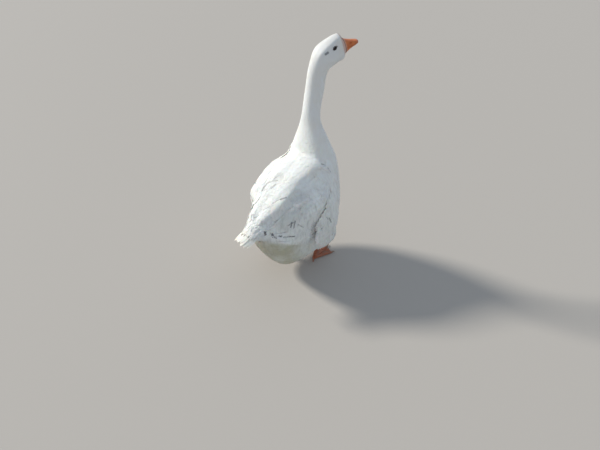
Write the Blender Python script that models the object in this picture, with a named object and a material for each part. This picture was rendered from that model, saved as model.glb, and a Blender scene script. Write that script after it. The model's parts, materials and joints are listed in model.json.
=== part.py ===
"""A white domestic goose, life size, standing in mid step with its neck raised.

Metres, +Z up. The goose faces -Y and its left side is +X. Points are worked out as
(left, forward, up) and placed by place(), so forward is -Y.
"""

import math
import random

import bmesh
import bpy
from mathutils import Vector

# Clear gap kept between pieces that touch, and the offset that grows a cutter by it
GAP = 0.00035

# Stations of the body from tail tip to bill root. Each one is a flat section through
# the body: its back point and its belly point as (forward, up), half its width, how far
# down from the back it is widest, and the squareness of its upper and lower halves.
STATIONS = {
    "tail_tip": ((-0.240, 0.261), (-0.240, 0.249), 0.020, 0.50, 2.0, 2.0),
    "tail_root": ((-0.188, 0.292), (-0.177, 0.236), 0.036, 0.50, 2.0, 2.0),
    "vent": ((-0.156, 0.322), (-0.142, 0.148), 0.0645, 0.54, 2.0, 2.2),
    "paunch": ((-0.117, 0.354), (-0.102, 0.077), 0.0895, 0.60, 2.1, 2.5),
    "loin": ((-0.060, 0.394), (-0.026, 0.056), 0.1100, 0.58, 2.2, 2.7),
    "keel": ((0.008, 0.427), (0.085, 0.088), 0.1315, 0.56, 2.2, 2.9),
    "shoulder": ((0.052, 0.449), (0.167, 0.172), 0.1090, 0.52, 2.2, 2.6),
    "breast": ((0.062, 0.480), (0.192, 0.285), 0.0894, 0.50, 2.2, 2.1),
    "crop": ((0.067, 0.512), (0.179, 0.392), 0.0735, 0.52, 2.0, 2.0),
    "neck_base": ((0.071, 0.549), (0.149, 0.481), 0.0490, 0.50, 2.0, 2.0),
    "neck_low": ((0.0718, 0.595), (0.1235, 0.5605), 0.0293, 0.50, 2.0, 2.0),
    "neck_high": ((0.0850, 0.660), (0.1418, 0.648), 0.0268, 0.50, 2.0, 2.0),
    "nape": ((0.0955, 0.716), (0.1525, 0.703), 0.0270, 0.50, 2.0, 2.0),
    "occiput": ((0.1103, 0.7585), (0.1707, 0.7171), 0.0295, 0.48, 2.0, 2.0),
    "crown": ((0.1317, 0.7818), (0.1880, 0.7261), 0.0308, 0.50, 2.1, 2.1),
    "brow": ((0.1812, 0.8050), (0.2025, 0.7283), 0.0200, 0.52, 2.2, 2.1),
    "bill_root": ((0.1972, 0.7940), (0.2120, 0.7450), 0.0182, 0.50, 2.2, 2.2),
}
STATION_ROWS = [
    (*back, *belly, half_width, widest, upper, lower)
    for back, belly, half_width, widest, upper, lower in STATIONS.values()
]

# The head and upper neck turn to the goose's right
HEAD_TURN = math.radians(-20)
TURN_FROM_Z = 0.56
TURN_TO_Z = 0.74
TURN_AXIS_FORWARD = 0.128

# Sides of the trunk's sections, and sections to a station
TRUNK_SIDES = 40
TRUNK_STEPS = 3
HEAD_STEPS = 4

# Where the trunk is parted, in stations
NECK_CUT = 8.55
NECK_MID_CUT = 10.5
HEAD_CUT = 12.0

# Eyes
EYE_RADIUS = 0.0075
EYE_STATION = 14.46
EYE_ANGLE = math.radians(63.5)
EYE_SUNK = 0.0048
LID_RADIUS = 0.0062
LID_THICK = 0.0013

# Bill: its length and upward tilt, where its mouth line meets the face as a share down the
# bill root, and rows of (share of the length, half width, height, depth) about that line
BILL_LENGTH = 0.0508
BILL_TILT = math.radians(7.6)
MOUTH_SHARE = 0.573
BILL_ROWS = (
    (0.00, 0.0180, 0.0282, 0.0205),
    (0.06, 0.0178, 0.0241, 0.0180),
    (0.22, 0.0170, 0.0180, 0.0131),
    (0.48, 0.0150, 0.0121, 0.0077),
    (0.72, 0.0138, 0.0080, 0.0055),
    (0.90, 0.0112, 0.0052, 0.0037),
    (0.975, 0.0068, 0.0035, 0.0021),
    (1.00, 0.0030, 0.0020, 0.0010),
)
MOUTH_SAG = 0.0016
NOSTRIL_SHARE = 0.40
NOSTRIL_SIZE = (0.0030, 0.0048, 0.0021)

# Wing chart: stations at its front and rear, and the angles from the back's midline of its
# top and bottom edges at five even places along it
WING_FRONT = 6.65
WING_REAR = 1.70
WING_TOP = (54, 32, 18, 14, 22)
WING_BOTTOM = (80, 96, 90, 84, 74)
WING_EDGE_THICK = 0.0020
WING_RIDGE_THICK = 0.0220
WING_RIDGE_AT = 0.38
WING_LOW_THICK = 0.10
WING_REAR_THICK = 0.08
WING_STEP = (0.62, 0.69)
WING_DEPTH = 0.007
WING_LOOSE = {"left": 0.0045, "right": 0.002}

# Tiers of wing feathers from the wrist backwards. Each has the count, the places of the
# first and last tip as (along, across), how far a feather runs along and across to its
# tip, then its half width, how proud its tip stands, and its depth under its upper face.
WING_TIERS = {
    "median": (5, (0.36, 0.24), (0.33, 0.94), (0.26, 0.03), 0.0190, 0.0026, 0.0050),
    "greater": (6, (0.56, 0.18), (0.50, 0.98), (0.28, 0.05), 0.0205, 0.0029, 0.0050),
    "secondary": (6, (0.76, 0.52), (0.66, 1.02), (0.32, 0.08), 0.0190, 0.0029, 0.0040),
    "primary": (4, (1.03, 0.50), (0.88, 0.94), (0.44, 0.06), 0.0160, 0.0026, 0.0030),
    "scapular": (4, (0.40, 0.15), (0.74, 0.15), (0.28, 0.00), 0.0165, 0.0030, 0.0050),
    "tertial": (3, (0.79, 0.18), (0.84, 0.44), (0.34, 0.02), 0.0180, 0.0042, 0.0040),
}
VANE_SHARES = (0.0, 0.48, 0.80, 0.94, 1.0)
VANE_WIDTHS = (0.55, 1.00, 0.94, 0.62, 0.16)
VANE_CAMBER = 0.08
VANE_ROLL = 0.045
ROOT_SINK = 0.0045
TIP_THICK = 0.40

# Tail feathers: how many, their half width, thickness and length, how they close towards
# their tips, and where they are rooted
TAIL_COUNT = 7
TAIL_HALF_WIDTH = 0.0120
TAIL_THICK = 0.0016
TAIL_LENGTH = 0.080
TAIL_FAN = math.radians(-14)
TAIL_ROOT = (-0.172, 0.292)
TAIL_ROOT_WIDTH = 0.024
TAIL_DROP = 0.035
TAIL_ARCH = 0.007

WING_SEED = {"left": 11, "right": 23}
TAIL_SEED = 5

# Legs: for each side, the heel's (left, forward) and the ankle's (left, forward, up)
HEELS = {"left": (0.060, -0.030), "right": (-0.064, 0.054)}
ANKLES = {"left": (0.078, -0.026, 0.080), "right": (-0.086, 0.040, 0.080)}
HIP_SIDE = 0.073
HIP_AHEAD = 0.030
HIP_UP = 0.245
THIGH_SHARES = (1.0, 0.85, 0.64, 0.42, 0.20, 0.05)
THIGH_RADII = (0.010, 0.036, 0.058, 0.062, 0.040, 0.0150)
THIGH_SIDES = 24
THIGH_CLEAR = 0.0009
SHANK_RADII = (0.0078, 0.0062, 0.0060, 0.0072)
ANKLE_RADIUS = 0.0092
LEG_SIDES = 12

# Toes: name, angle outwards from straight ahead, length, and joints
TOE_ANGLES = {"inner": -27, "middle": -2, "outer": 24}
TOE_LENGTHS = {"inner": 0.064, "middle": 0.084, "outer": 0.078}
TOE_RADII = (0.0062, 0.0050, 0.0052, 0.0040)
TOE_AXIS_UP = 0.0042
TOE_SIDES = 8
CLAW_LENGTH = 0.0105
CLAW_RADIUS = 0.0026
WEB_THICK = 0.0022
WEB_UP = 0.0006
WEB_NOTCH = 0.86
HIND_TOE_LENGTH = 0.022
HIND_TOE_RADII = (0.0042, 0.0036, 0.0012)


def place(point):
    """A (left, forward, up) point in the scene's axes."""
    return Vector((point[0], -point[1], point[2]))


def smooth(share):
    share = min(max(share, 0.0), 1.0)
    return share * share * (3 - 2 * share)


def spline(rows, at):
    """Catmull-Rom curve through rows of numbers, at a place counted in rows."""
    last = len(rows) - 1
    start = min(max(int(math.floor(at)), 0), last - 1)
    t = at - start
    before = rows[start - 1] if start else [2 * a - b for a, b in zip(rows[0], rows[1])]
    after = rows[start + 2] if start + 2 <= last else [2 * a - b for a, b in zip(rows[-1], rows[-2])]
    return [
        0.5 * (2 * b + (c - a) * t + (2 * a - 5 * b + 4 * c - d) * t * t + (3 * b - a - 3 * c + d) * t ** 3)
        for a, b, c, d in zip(before, rows[start], rows[start + 1], after)
    ]


def turned(point):
    """The point after the head and upper neck have turned."""
    angle = HEAD_TURN * smooth((point[2] - TURN_FROM_Z) / (TURN_TO_Z - TURN_FROM_Z))
    forward = point[1] - TURN_AXIS_FORWARD
    side = point[0] * math.cos(angle) + forward * math.sin(angle)
    forward = forward * math.cos(angle) - point[0] * math.sin(angle)
    return Vector((side, forward + TURN_AXIS_FORWARD, point[2]))


def trunk_point(at, angle):
    """The trunk's surface at a station and an angle from the back's midline, left positive."""
    back_f, back_z, belly_f, belly_z, half_width, widest, upper, lower = spline(STATION_ROWS, at)
    side = math.sin(angle)
    height = math.cos(angle)
    power = 2 / (upper if height >= 0 else lower)
    out = math.copysign(abs(side) ** power, side) * half_width
    rise = math.copysign(abs(height) ** power, height)
    share = widest - rise * (widest if height >= 0 else 1 - widest)
    forward = back_f + (belly_f - back_f) * share
    up = back_z + (belly_z - back_z) * share
    return turned((out, forward, up))


def above_trunk(at, angle, height):
    """A point that stands off the trunk's surface by height."""
    step = 0.02
    point = trunk_point(at, angle)
    along = trunk_point(at + step, angle) - trunk_point(at - step, angle)
    round_it = trunk_point(at, angle + step) - trunk_point(at, angle - step)
    return point + round_it.cross(along).normalized() * height


def make_object(name, bm, colour, roughness=0.7):
    """The bmesh as a named object with its own material."""
    bmesh.ops.recalc_face_normals(bm, faces=bm.faces)
    mesh = bpy.data.meshes.new(name)
    bm.to_mesh(mesh)
    bm.free()
    for polygon in mesh.polygons:
        polygon.use_smooth = True
    mesh.set_sharp_from_angle(angle=math.radians(50))
    material = bpy.data.materials.new(name)
    material.use_nodes = True
    shader = material.node_tree.nodes["Principled BSDF"]
    shader.inputs["Base Color"].default_value = (*colour, 1)
    shader.inputs["Roughness"].default_value = roughness
    mesh.materials.append(material)
    obj = bpy.data.objects.new(name, mesh)
    bpy.context.scene.collection.objects.link(obj)
    return obj


FEATHER = (0.86, 0.85, 0.82)
ORANGE = (0.78, 0.25, 0.06)
LEG_ORANGE = (0.62, 0.24, 0.12)
EYE_DARK = (0.02, 0.015, 0.012)


def loft(rings):
    """A closed mesh through rings of points with equal counts, each end closed by a fan."""
    bm = bmesh.new()
    rows = [[bm.verts.new(place(p)) for p in ring] for ring in rings]
    count = len(rows[0])
    for lower, upper in zip(rows, rows[1:]):
        for i in range(count):
            j = (i + 1) % count
            bm.faces.new((lower[i], lower[j], upper[j], upper[i]))
    for ring in (rows[0], rows[-1]):
        centre = bm.verts.new(sum((v.co for v in ring), Vector()) / count)
        for i in range(count):
            bm.faces.new((ring[i], ring[(i + 1) % count], centre))
    bmesh.ops.triangulate(bm, faces=bm.faces, quad_method="SHORT_EDGE")
    return bm


def tube_rings(path, radii, sides, squash=1.0):
    """Rings round a path of (left, forward, up) points, flattened along up by squash."""
    rings = []
    for i, point in enumerate(path):
        ahead = Vector(path[min(i + 1, len(path) - 1)]) - Vector(path[max(i - 1, 0)])
        ahead.normalize()
        side = ahead.cross(Vector((0, 0, 1)))
        if side.length < 0.3:
            side = ahead.cross(Vector((0, 1, 0)))
        side.normalize()
        up = side.cross(ahead)
        rings.append([
            Vector(point)
            + side * (radii[i] * math.cos(2 * math.pi * k / sides))
            + up * (radii[i] * squash * math.sin(2 * math.pi * k / sides))
            for k in range(sides)
        ])
    return rings


def trunk_rings(start, end, steps, grow=0.0):
    """Sections of the trunk between two stations, each grown outwards by grow."""
    count = max(int(round((end - start) * steps)), 1)
    rings = []
    for i in range(count + 1):
        at = start + (end - start) * i / count
        angles = [2 * math.pi * k / TRUNK_SIDES for k in range(TRUNK_SIDES)]
        if grow:
            rings.append([above_trunk(at, angle, grow) for angle in angles])
        else:
            rings.append([trunk_point(at, angle) for angle in angles])
    return rings


def shift_end(rings, which, distance):
    """Moves an end ring along the trunk, so that two neighbours keep a gap."""
    ring = rings[which]
    inner = rings[which + (1 if which == 0 else -1)]
    away = sum(ring, Vector()) / len(ring) - sum(inner, Vector()) / len(inner)
    away.normalize()
    rings[which] = [p + away * distance for p in ring]
    return rings


def apply_modifier(obj):
    """Replaces the object's mesh with its evaluated one and drops the modifiers."""
    graph = bpy.context.evaluated_depsgraph_get()
    mesh = bpy.data.meshes.new_from_object(obj.evaluated_get(graph))
    obj.modifiers.clear()
    obj.data = mesh


def boolean(obj, others, operation, solver="MANIFOLD"):
    """Joins or cuts obj with other closed meshes in one step, and removes them."""
    pieces = bpy.data.collections.new(obj.name + "_pieces")
    bpy.context.scene.collection.children.link(pieces)
    for other in others:
        for collection in other.users_collection:
            collection.objects.unlink(other)
        pieces.objects.link(other)
    modifier = obj.modifiers.new(operation.lower(), "BOOLEAN")
    modifier.operation = operation
    modifier.solver = solver
    modifier.operand_type = "COLLECTION"
    modifier.collection = pieces
    apply_modifier(obj)
    for other in list(pieces.objects):
        bpy.data.objects.remove(other)
    bpy.data.collections.remove(pieces)


def keep_largest(obj):
    """Keeps only the largest closed surface of a mesh."""
    bm = bmesh.new()
    bm.from_mesh(obj.data)
    bmesh.ops.remove_doubles(bm, verts=bm.verts, dist=0.000002)
    bmesh.ops.triangulate(bm, faces=bm.faces)
    unseen = set(bm.verts)
    shells = []
    while unseen:
        queue = [unseen.pop()]
        shell = list(queue)
        while queue:
            for edge in queue.pop().link_edges:
                for vert in edge.verts:
                    if vert in unseen:
                        unseen.remove(vert)
                        queue.append(vert)
                        shell.append(vert)
        shells.append(shell)
    shells.sort(key=shell_size)
    bmesh.ops.delete(bm, geom=[v for shell in shells[:-1] for v in shell], context="VERTS")
    bm.to_mesh(obj.data)
    bm.free()


def shell_size(shell):
    """The diagonal of the box round a shell's vertices."""
    low = [min(v.co[i] for v in shell) for i in range(3)]
    high = [max(v.co[i] for v in shell) for i in range(3)]
    return sum((h - l) ** 2 for h, l in zip(high, low))


def ball(name, centre, size, segments=14, rings=8):
    """An ellipsoid at a (left, forward, up) place with half sizes (left, forward, up)."""
    bm = bmesh.new()
    bmesh.ops.create_uvsphere(bm, u_segments=segments, v_segments=rings, radius=1)
    for vert in bm.verts:
        vert.co = Vector([c * s for c, s in zip(vert.co, size)]) + place(centre)
    return make_object(name, bm, ORANGE)


def trunk_cutter(name, start, end):
    """The trunk grown by the gap, for cutting what lies against it."""
    rings = trunk_rings(start, end, TRUNK_STEPS, grow=GAP)
    return make_object(name, loft(rings), FEATHER)


def make_torso():
    rings = trunk_rings(1.0, NECK_CUT, TRUNK_STEPS)
    return make_object("torso", loft(rings), FEATHER)


def make_neck():
    lower = shift_end(trunk_rings(NECK_CUT, NECK_MID_CUT, TRUNK_STEPS), 0, -GAP)
    make_object("lower_neck", loft(lower), FEATHER)
    upper = shift_end(trunk_rings(NECK_MID_CUT, HEAD_CUT, TRUNK_STEPS), 0, -GAP)
    make_object("upper_neck", loft(upper), FEATHER)


def eye_frame(side):
    """The surface point over an eye, and the way it looks, backwards and up round it."""
    point = trunk_point(EYE_STATION, side * EYE_ANGLE)
    out = (above_trunk(EYE_STATION, side * EYE_ANGLE, 1.0) - point).normalized()
    along = (trunk_point(EYE_STATION + 0.1, side * EYE_ANGLE) - point).normalized()
    along = (along - out * along.dot(out)).normalized()
    return point, out, along, out.cross(along)


def eye_centre(side):
    point, out, _, _ = eye_frame(side)
    return point - out * EYE_SUNK


def make_lid(side):
    """The ring of skin round one eye."""
    bm = bmesh.new()
    around, across = 12, 5
    centre, out, along, aside = eye_frame(side)
    rows = []
    for i in range(around):
        turn = 2 * math.pi * i / around
        outward = along * math.cos(turn) + aside * math.sin(turn)
        row = []
        for k in range(across):
            roll = 2 * math.pi * k / across
            swell = outward * (LID_RADIUS + LID_THICK * math.cos(roll))
            row.append(bm.verts.new(place(centre + swell + out * (LID_THICK * math.sin(roll)))))
        rows.append(row)
    for i in range(around):
        for k in range(across):
            here, there = rows[i], rows[(i + 1) % around]
            m = (k + 1) % across
            bm.faces.new((here[k], here[m], there[m], there[k]))
    return make_object("lid", bm, FEATHER)


def make_head():
    rings = shift_end(trunk_rings(HEAD_CUT, len(STATIONS) - 1, HEAD_STEPS), 0, -GAP)
    head = make_object("head", loft(rings), FEATHER)
    boolean(head, [make_lid(1), make_lid(-1)], "UNION")
    sockets = [
        ball("socket", eye_centre(side), [EYE_RADIUS + GAP] * 3) for side in (1, -1)
    ]
    boolean(head, sockets, "DIFFERENCE")
    keep_largest(head)
    for name, side in (("left_eye", 1), ("right_eye", -1)):
        eye = ball(name, eye_centre(side), [EYE_RADIUS] * 3)
        eye.data.materials[0].node_tree.nodes["Principled BSDF"].inputs["Base Color"].default_value = (
            *EYE_DARK,
            1,
        )


def bill_point(share, side, height):
    """A point of the bill: a share of its length, sideways, and above the mouth line."""
    back_f, back_z, belly_f, belly_z = STATION_ROWS[-1][:4]
    root_f = back_f + (belly_f - back_f) * MOUTH_SHARE
    root_z = back_z + (belly_z - back_z) * MOUTH_SHARE
    lean = (back_f - belly_f) / (back_z - belly_z)
    reach = GAP + BILL_LENGTH * share
    forward = root_f + reach * math.cos(BILL_TILT) + lean * height * (1 - share)
    up = root_z + height + reach * math.sin(BILL_TILT)
    up -= MOUTH_SAG * math.sin(math.pi * min(share * 1.2, 1.0))
    return turned((side, forward, up))


def bill_half(name, upward):
    """One mandible: an arch over a flat face on the mouth line."""
    arch = 10
    rings = []
    for share, half_width, high, deep in BILL_ROWS:
        reach = high if upward else deep
        base = GAP / 2 if upward else -GAP / 2
        ring = []
        for k in range(arch + 1):
            angle = math.pi * k / arch
            side = half_width * math.copysign(abs(math.cos(angle)) ** 0.8, math.cos(angle))
            rise = reach * math.sin(angle) ** 0.9
            ring.append(bill_point(share, side, base + (rise if upward else -rise)))
        rings.append(ring)
    return make_object(name, loft(rings), ORANGE, 0.45)


def make_bill():
    upper = bill_half("upper_bill", True)
    before, after = next(pair for pair in zip(BILL_ROWS, BILL_ROWS[1:]) if pair[1][0] > NOSTRIL_SHARE)
    mix = (NOSTRIL_SHARE - before[0]) / (after[0] - before[0])
    half_width, high = (before[i] + (after[i] - before[i]) * mix for i in (1, 2))
    cutters = []
    for side in (1, -1):
        centre = bill_point(NOSTRIL_SHARE, side * half_width * 0.80, high * 0.60)
        cutters.append(ball("nostril", centre, NOSTRIL_SIZE, 12, 8))
    boolean(upper, cutters, "DIFFERENCE")
    keep_largest(upper)
    bill_half("lower_bill", False)


def chart(along, across):
    """The station and angle of a place on a wing: along from front to rear, across down it."""
    at = WING_FRONT + (WING_REAR - WING_FRONT) * along
    edge = min(max(along, 0.0), 1.0) * (len(WING_TOP) - 1)
    top = spline([(a,) for a in WING_TOP], edge)[0]
    bottom = spline([(a,) for a in WING_BOTTOM], edge)[0]
    return at, math.radians(top + (bottom - top) * across)


def wing_height(name, along, across):
    """How far the wing's outer face stands off the trunk."""
    rise = smooth(across / WING_RIDGE_AT)
    fall = 1 - (1 - WING_LOW_THICK) * smooth((across - WING_RIDGE_AT) / (1 - WING_RIDGE_AT))
    rear = smooth((along - WING_STEP[0]) / (WING_STEP[1] - WING_STEP[0]))
    thick = WING_RIDGE_THICK * smooth(along / 0.55)
    thick += WING_LOOSE[name] * smooth((along - 0.40) / 0.3)
    return WING_EDGE_THICK + thick * rise * fall * (1 - (1 - WING_REAR_THICK) * rear)


def on_wing(name, side, along, across):
    """A point on a wing's outer face."""
    at, angle = chart(along, across)
    return above_trunk(at, side * angle, wing_height(name, along, across))


def wing_frame(name, side, along, across):
    """A point on a wing's outer face and the way out from it."""
    step = 0.01
    point = on_wing(name, side, along, across)
    back = on_wing(name, side, along + step, across) - on_wing(name, side, along - step, across)
    down = on_wing(name, side, along, across + step) - on_wing(name, side, along, across - step)
    return point, (back.cross(down) * side).normalized()


def wing_core(name, side):
    """The solid under a wing's feathers, as two skins over the flank joined at the rim."""
    longs, cross = 10, 7
    bm = bmesh.new()
    skins = []
    for outer in (True, False):
        grid = []
        for i in range(longs + 1):
            row = []
            for k in range(cross + 1):
                along, across = i / longs, k / cross
                at, angle = chart(along, across)
                height = wing_height(name, along, across) if outer else -WING_DEPTH
                row.append(bm.verts.new(place(above_trunk(at, side * angle, height))))
            grid.append(row)
        skins.append(grid)
        for i in range(longs):
            for k in range(cross):
                bm.faces.new((grid[i][k], grid[i + 1][k], grid[i + 1][k + 1], grid[i][k + 1]))
    rim = [(i, 0) for i in range(longs)] + [(longs, k) for k in range(cross)]
    rim += [(i, cross) for i in range(longs, 0, -1)] + [(0, k) for k in range(cross, 0, -1)]
    outer, inner = skins
    for (i, k), (m, n) in zip(rim, rim[1:] + rim[:1]):
        bm.faces.new((outer[i][k], outer[m][n], inner[m][n], inner[i][k]))
    bmesh.ops.triangulate(bm, faces=bm.faces, quad_method="FIXED")
    return make_object(name + "_wing", bm, FEATHER)


def vane(path, normals, half_width, depths, roll=0.0):
    """A tapered feather along a path, bent down at its sides, alike on both faces."""
    bm = bmesh.new()
    rows = []
    for i, (point, out) in enumerate(zip(path, normals)):
        ahead = path[min(i + 1, len(path) - 1)] - path[max(i - 1, 0)]
        aside = out.cross(ahead).normalized()
        wide = half_width * VANE_WIDTHS[i]
        row = []
        for lift in (0, -depths[i]):
            for reach in (-1, 0, 1):
                drop = (VANE_CAMBER * abs(reach) - roll * reach) * wide
                row.append(bm.verts.new(place(point + aside * wide * reach + out * (lift - drop))))
        rows.append(row)
    for a, b in zip(rows, rows[1:]):
        for k in (0, 1):
            bm.faces.new((a[k], a[k + 1], b[k + 1]))
            bm.faces.new((a[k], b[k + 1], b[k]))
            bm.faces.new((a[k + 3], b[k + 4], a[k + 4]))
            bm.faces.new((a[k + 3], b[k + 3], b[k + 4]))
        for k in (0, 2):
            bm.faces.new((a[k], b[k], b[k + 3]))
            bm.faces.new((a[k], b[k + 3], a[k + 3]))
    for row in (rows[0], rows[-1]):
        for k in (0, 1):
            bm.faces.new((row[k], row[k + 1], row[k + 4], row[k + 3]))
    bmesh.ops.triangulate(bm, faces=bm.faces)
    return make_object("vane", bm, FEATHER)


def wing_vane(name, side, tip, run, half_width, proud, depth):
    """One wing feather, its root sunk in the core and its tip standing proud of it."""
    path, normals, depths = [], [], []
    for share in VANE_SHARES:
        along, across = (t - r * (1 - share) for t, r in zip(tip, run))
        point, out = wing_frame(name, side, along, across)
        path.append(point + out * (proud * smooth(share / 0.8) - ROOT_SINK * (1 - smooth(share / 0.5))))
        normals.append(out)
        depths.append(depth * (TIP_THICK if share == 1.0 and depth < 0.004 else 1))
    return vane(path, normals, half_width, depths, VANE_ROLL * side)


def thigh_path(name, side):
    """Centres of a thigh's sections, from the hip down to just above the ankle."""
    ankle = Vector(ANKLES[name])
    hip = Vector((side * HIP_SIDE, ankle.y + HIP_AHEAD, HIP_UP))
    return [ankle.lerp(hip, share) for share in THIGH_SHARES]


def thigh_solid(object_name, name, side, grow=0.0):
    """The feathered thigh before it is cut, grown outwards where it serves as a cutter."""
    radii = [radius + grow for radius in THIGH_RADII]
    return make_object(object_name, loft(tube_rings(thigh_path(name, side), radii, THIGH_SIDES)), FEATHER)


def make_wing(name, side):
    """A folded wing laid on the flank: a core with tiers of feathers, cut to the torso."""
    chance = random.Random(WING_SEED[name])
    wing = wing_core(name, side)
    vanes = []
    for count, first, last, run, half_width, proud, depth in WING_TIERS.values():
        for i in range(count):
            share = i / (count - 1)
            tip = [a + (b - a) * share + chance.uniform(-0.014, 0.014) for a, b in zip(first, last)]
            reach = [r * chance.uniform(0.94, 1.06) for r in run]
            wide = half_width * chance.uniform(0.92, 1.08)
            vanes.append(wing_vane(name, side, tip, reach, wide, proud, depth))
    boolean(wing, vanes, "UNION")
    cutters = [trunk_cutter("torso_cut", 0.0, NECK_CUT), thigh_solid("thigh_cut", name, side, THIGH_CLEAR)]
    boolean(wing, cutters, "DIFFERENCE")
    keep_largest(wing)
    return wing


def make_tail():
    """A short root with a fan of feathers, the middle ones uppermost."""
    chance = random.Random(TAIL_SEED)
    rings = shift_end(trunk_rings(0.12, 1.0, 4), -1, -GAP)
    tail = make_object("tail", loft(rings), FEATHER)
    vanes = []
    for i in range(TAIL_COUNT):
        spread = 2 * i / (TAIL_COUNT - 1) - 1
        angle = spread * TAIL_FAN / 2
        root = Vector((spread * TAIL_ROOT_WIDTH, TAIL_ROOT[0], TAIL_ROOT[1] - TAIL_ARCH * spread * spread))
        reach = TAIL_LENGTH * (1 - 0.12 * abs(spread)) * chance.uniform(0.96, 1.03)
        ahead = Vector((math.sin(angle), -math.cos(angle), -TAIL_DROP / TAIL_LENGTH))
        lift = -0.0009 * abs(i - TAIL_COUNT // 2)
        path = [root + ahead * reach * share + Vector((0, 0, lift)) for share in VANE_SHARES]
        out = Vector((0.5 * spread, 0, 1)).normalized()
        wide = TAIL_HALF_WIDTH * chance.uniform(0.94, 1.06)
        depths = [TAIL_THICK * (TIP_THICK if share == 1.0 else 1) for share in VANE_SHARES]
        vanes.append(vane(path, [out] * len(path), wide, depths))
    boolean(tail, vanes, "UNION")
    boolean(tail, [trunk_cutter("torso_cut", 1.0, 3.0)], "DIFFERENCE")
    keep_largest(tail)
    return tail


def heading(angle):
    """A level direction, turned outwards from straight ahead, as (left, forward)."""
    return Vector((math.sin(angle), math.cos(angle), 0))


def toe_end(side, toe):
    angle = side * math.radians(TOE_ANGLES[toe])
    return heading(angle) * TOE_LENGTHS[toe]


def make_foot(name, side, heel):
    """Pieces of one foot: three front toes with claws, two webs and the hind toe."""
    start = Vector((*heel, TOE_AXIS_UP))
    pieces = []
    for toe in TOE_ANGLES:
        reach = toe_end(side, toe)
        path = [start + reach * share for share in (0.0, 0.4, 0.72, 1.0)]
        rings = tube_rings(path, TOE_RADII, TOE_SIDES, 0.9)
        pieces.append(make_object(toe, loft(rings), LEG_ORANGE))
        ahead = reach.normalized()
        tip = start + reach
        claw = [
            tip - ahead * 0.004 + Vector((0, 0, 0.0008)),
            tip + ahead * CLAW_LENGTH * 0.5 + Vector((0, 0, 0.0006)),
            tip + ahead * CLAW_LENGTH + Vector((0, 0, -0.0018)),
        ]
        rings = tube_rings(claw, (CLAW_RADIUS, CLAW_RADIUS * 0.8, 0.0007), TOE_SIDES)
        pieces.append(make_object("claw", loft(rings), LEG_ORANGE))
    for first, second in (("inner", "middle"), ("middle", "outer")):
        pieces.append(make_web(side, start, first, second))
    back = heading(side * math.radians(150))
    hind = [
        start + Vector((0, 0, 0.0060)) - back * 0.002,
        start + back * HIND_TOE_LENGTH * 0.6 + Vector((0, 0, 0.0045)),
        start + back * HIND_TOE_LENGTH + Vector((0, 0, -0.0015)),
    ]
    pieces.append(make_object("hind_toe", loft(tube_rings(hind, HIND_TOE_RADII, TOE_SIDES)), LEG_ORANGE))
    return pieces


def make_web(side, start, first, second):
    """The skin between two toes, with a hollow front edge."""
    ends = [toe_end(side, first), toe_end(side, second)]
    middle = (ends[0] + ends[1]) * 0.5 * WEB_NOTCH
    outline = [Vector((0, 0, 0)), ends[0] * 0.5, ends[0] * 0.97]
    outline += [ends[0] * 0.42 + middle * 0.52, middle, ends[1] * 0.42 + middle * 0.52]
    outline += [ends[1] * 0.97, ends[1] * 0.5]
    hub = (ends[0] + ends[1]) * 0.25
    bm = bmesh.new()
    base = Vector((start.x, start.y, WEB_UP))
    layers = []
    for lift in (0.0, WEB_THICK):
        offset = Vector((0, 0, lift))
        rim = [bm.verts.new(place(base + p + offset)) for p in outline]
        centre = bm.verts.new(place(base + hub + offset))
        for i, vert in enumerate(rim):
            bm.faces.new((vert, rim[(i + 1) % len(rim)], centre))
        layers.append(rim)
    for i in range(len(outline)):
        j = (i + 1) % len(outline)
        bm.faces.new((layers[0][i], layers[0][j], layers[1][j], layers[1][i]))
    return make_object("web", bm, LEG_ORANGE)


def box_below(top, name="floor_cut"):
    """A block whose top face is at a height, for cutting what reaches below it."""
    bm = bmesh.new()
    bmesh.ops.create_cube(bm, size=1)
    half = 0.5
    for vert in bm.verts:
        vert.co.z = top if vert.co.z > 0 else top - half
    return make_object(name, bm, LEG_ORANGE)


def make_leg(name, side):
    """A bare shank and webbed foot, flat where it meets the floor."""
    heel = HEELS[name]
    ankle = Vector(ANKLES[name])
    foot = Vector((*heel, 0.007))
    path = [ankle, ankle.lerp(foot, 0.3), ankle.lerp(foot, 0.75), foot]
    leg = make_object(name + "_leg", loft(tube_rings(path, SHANK_RADII, LEG_SIDES)), LEG_ORANGE, 0.6)
    joint = ball("ankle", ankle, [ANKLE_RADIUS, ANKLE_RADIUS * 1.15, ANKLE_RADIUS], 12, 8)
    boolean(leg, [joint, *make_foot(name, side, heel)], "UNION")
    boolean(leg, [box_below(0.0), trunk_cutter("torso_cut", 1.0, NECK_CUT)], "DIFFERENCE")
    keep_largest(leg)
    return leg


def make_thigh(name, side):
    """The feathered leg above the ankle, cut to the torso and clear of the shank."""
    thigh = thigh_solid(name + "_thigh", name, side)
    clear = GAP
    ankle = ANKLES[name]
    half = ANKLE_RADIUS + clear
    hole = ball("ankle_cut", ankle, [half, ANKLE_RADIUS * 1.15 + clear, half], 12, 8)
    shank = tube_rings(
        [Vector(ankle), Vector(ankle).lerp(Vector((*HEELS[name], 0.007)), 0.3)],
        [r + clear for r in SHANK_RADII[:2]],
        LEG_SIDES,
    )
    cutters = [trunk_cutter("torso_cut", 1.0, NECK_CUT), hole, make_object("shank_cut", loft(shank), FEATHER)]
    boolean(thigh, cutters, "DIFFERENCE")
    keep_largest(thigh)


def centre_on_floor():
    """Moves everything so that the middle of its box is over the origin."""
    objects = [obj for obj in bpy.context.scene.objects if obj.type == "MESH"]
    corners = [v.co for obj in objects for v in obj.data.vertices]
    middle = [(min(c[i] for c in corners) + max(c[i] for c in corners)) / 2 for i in (0, 1)]
    for obj in objects:
        obj.location = (-middle[0], -middle[1], 0)


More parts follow.
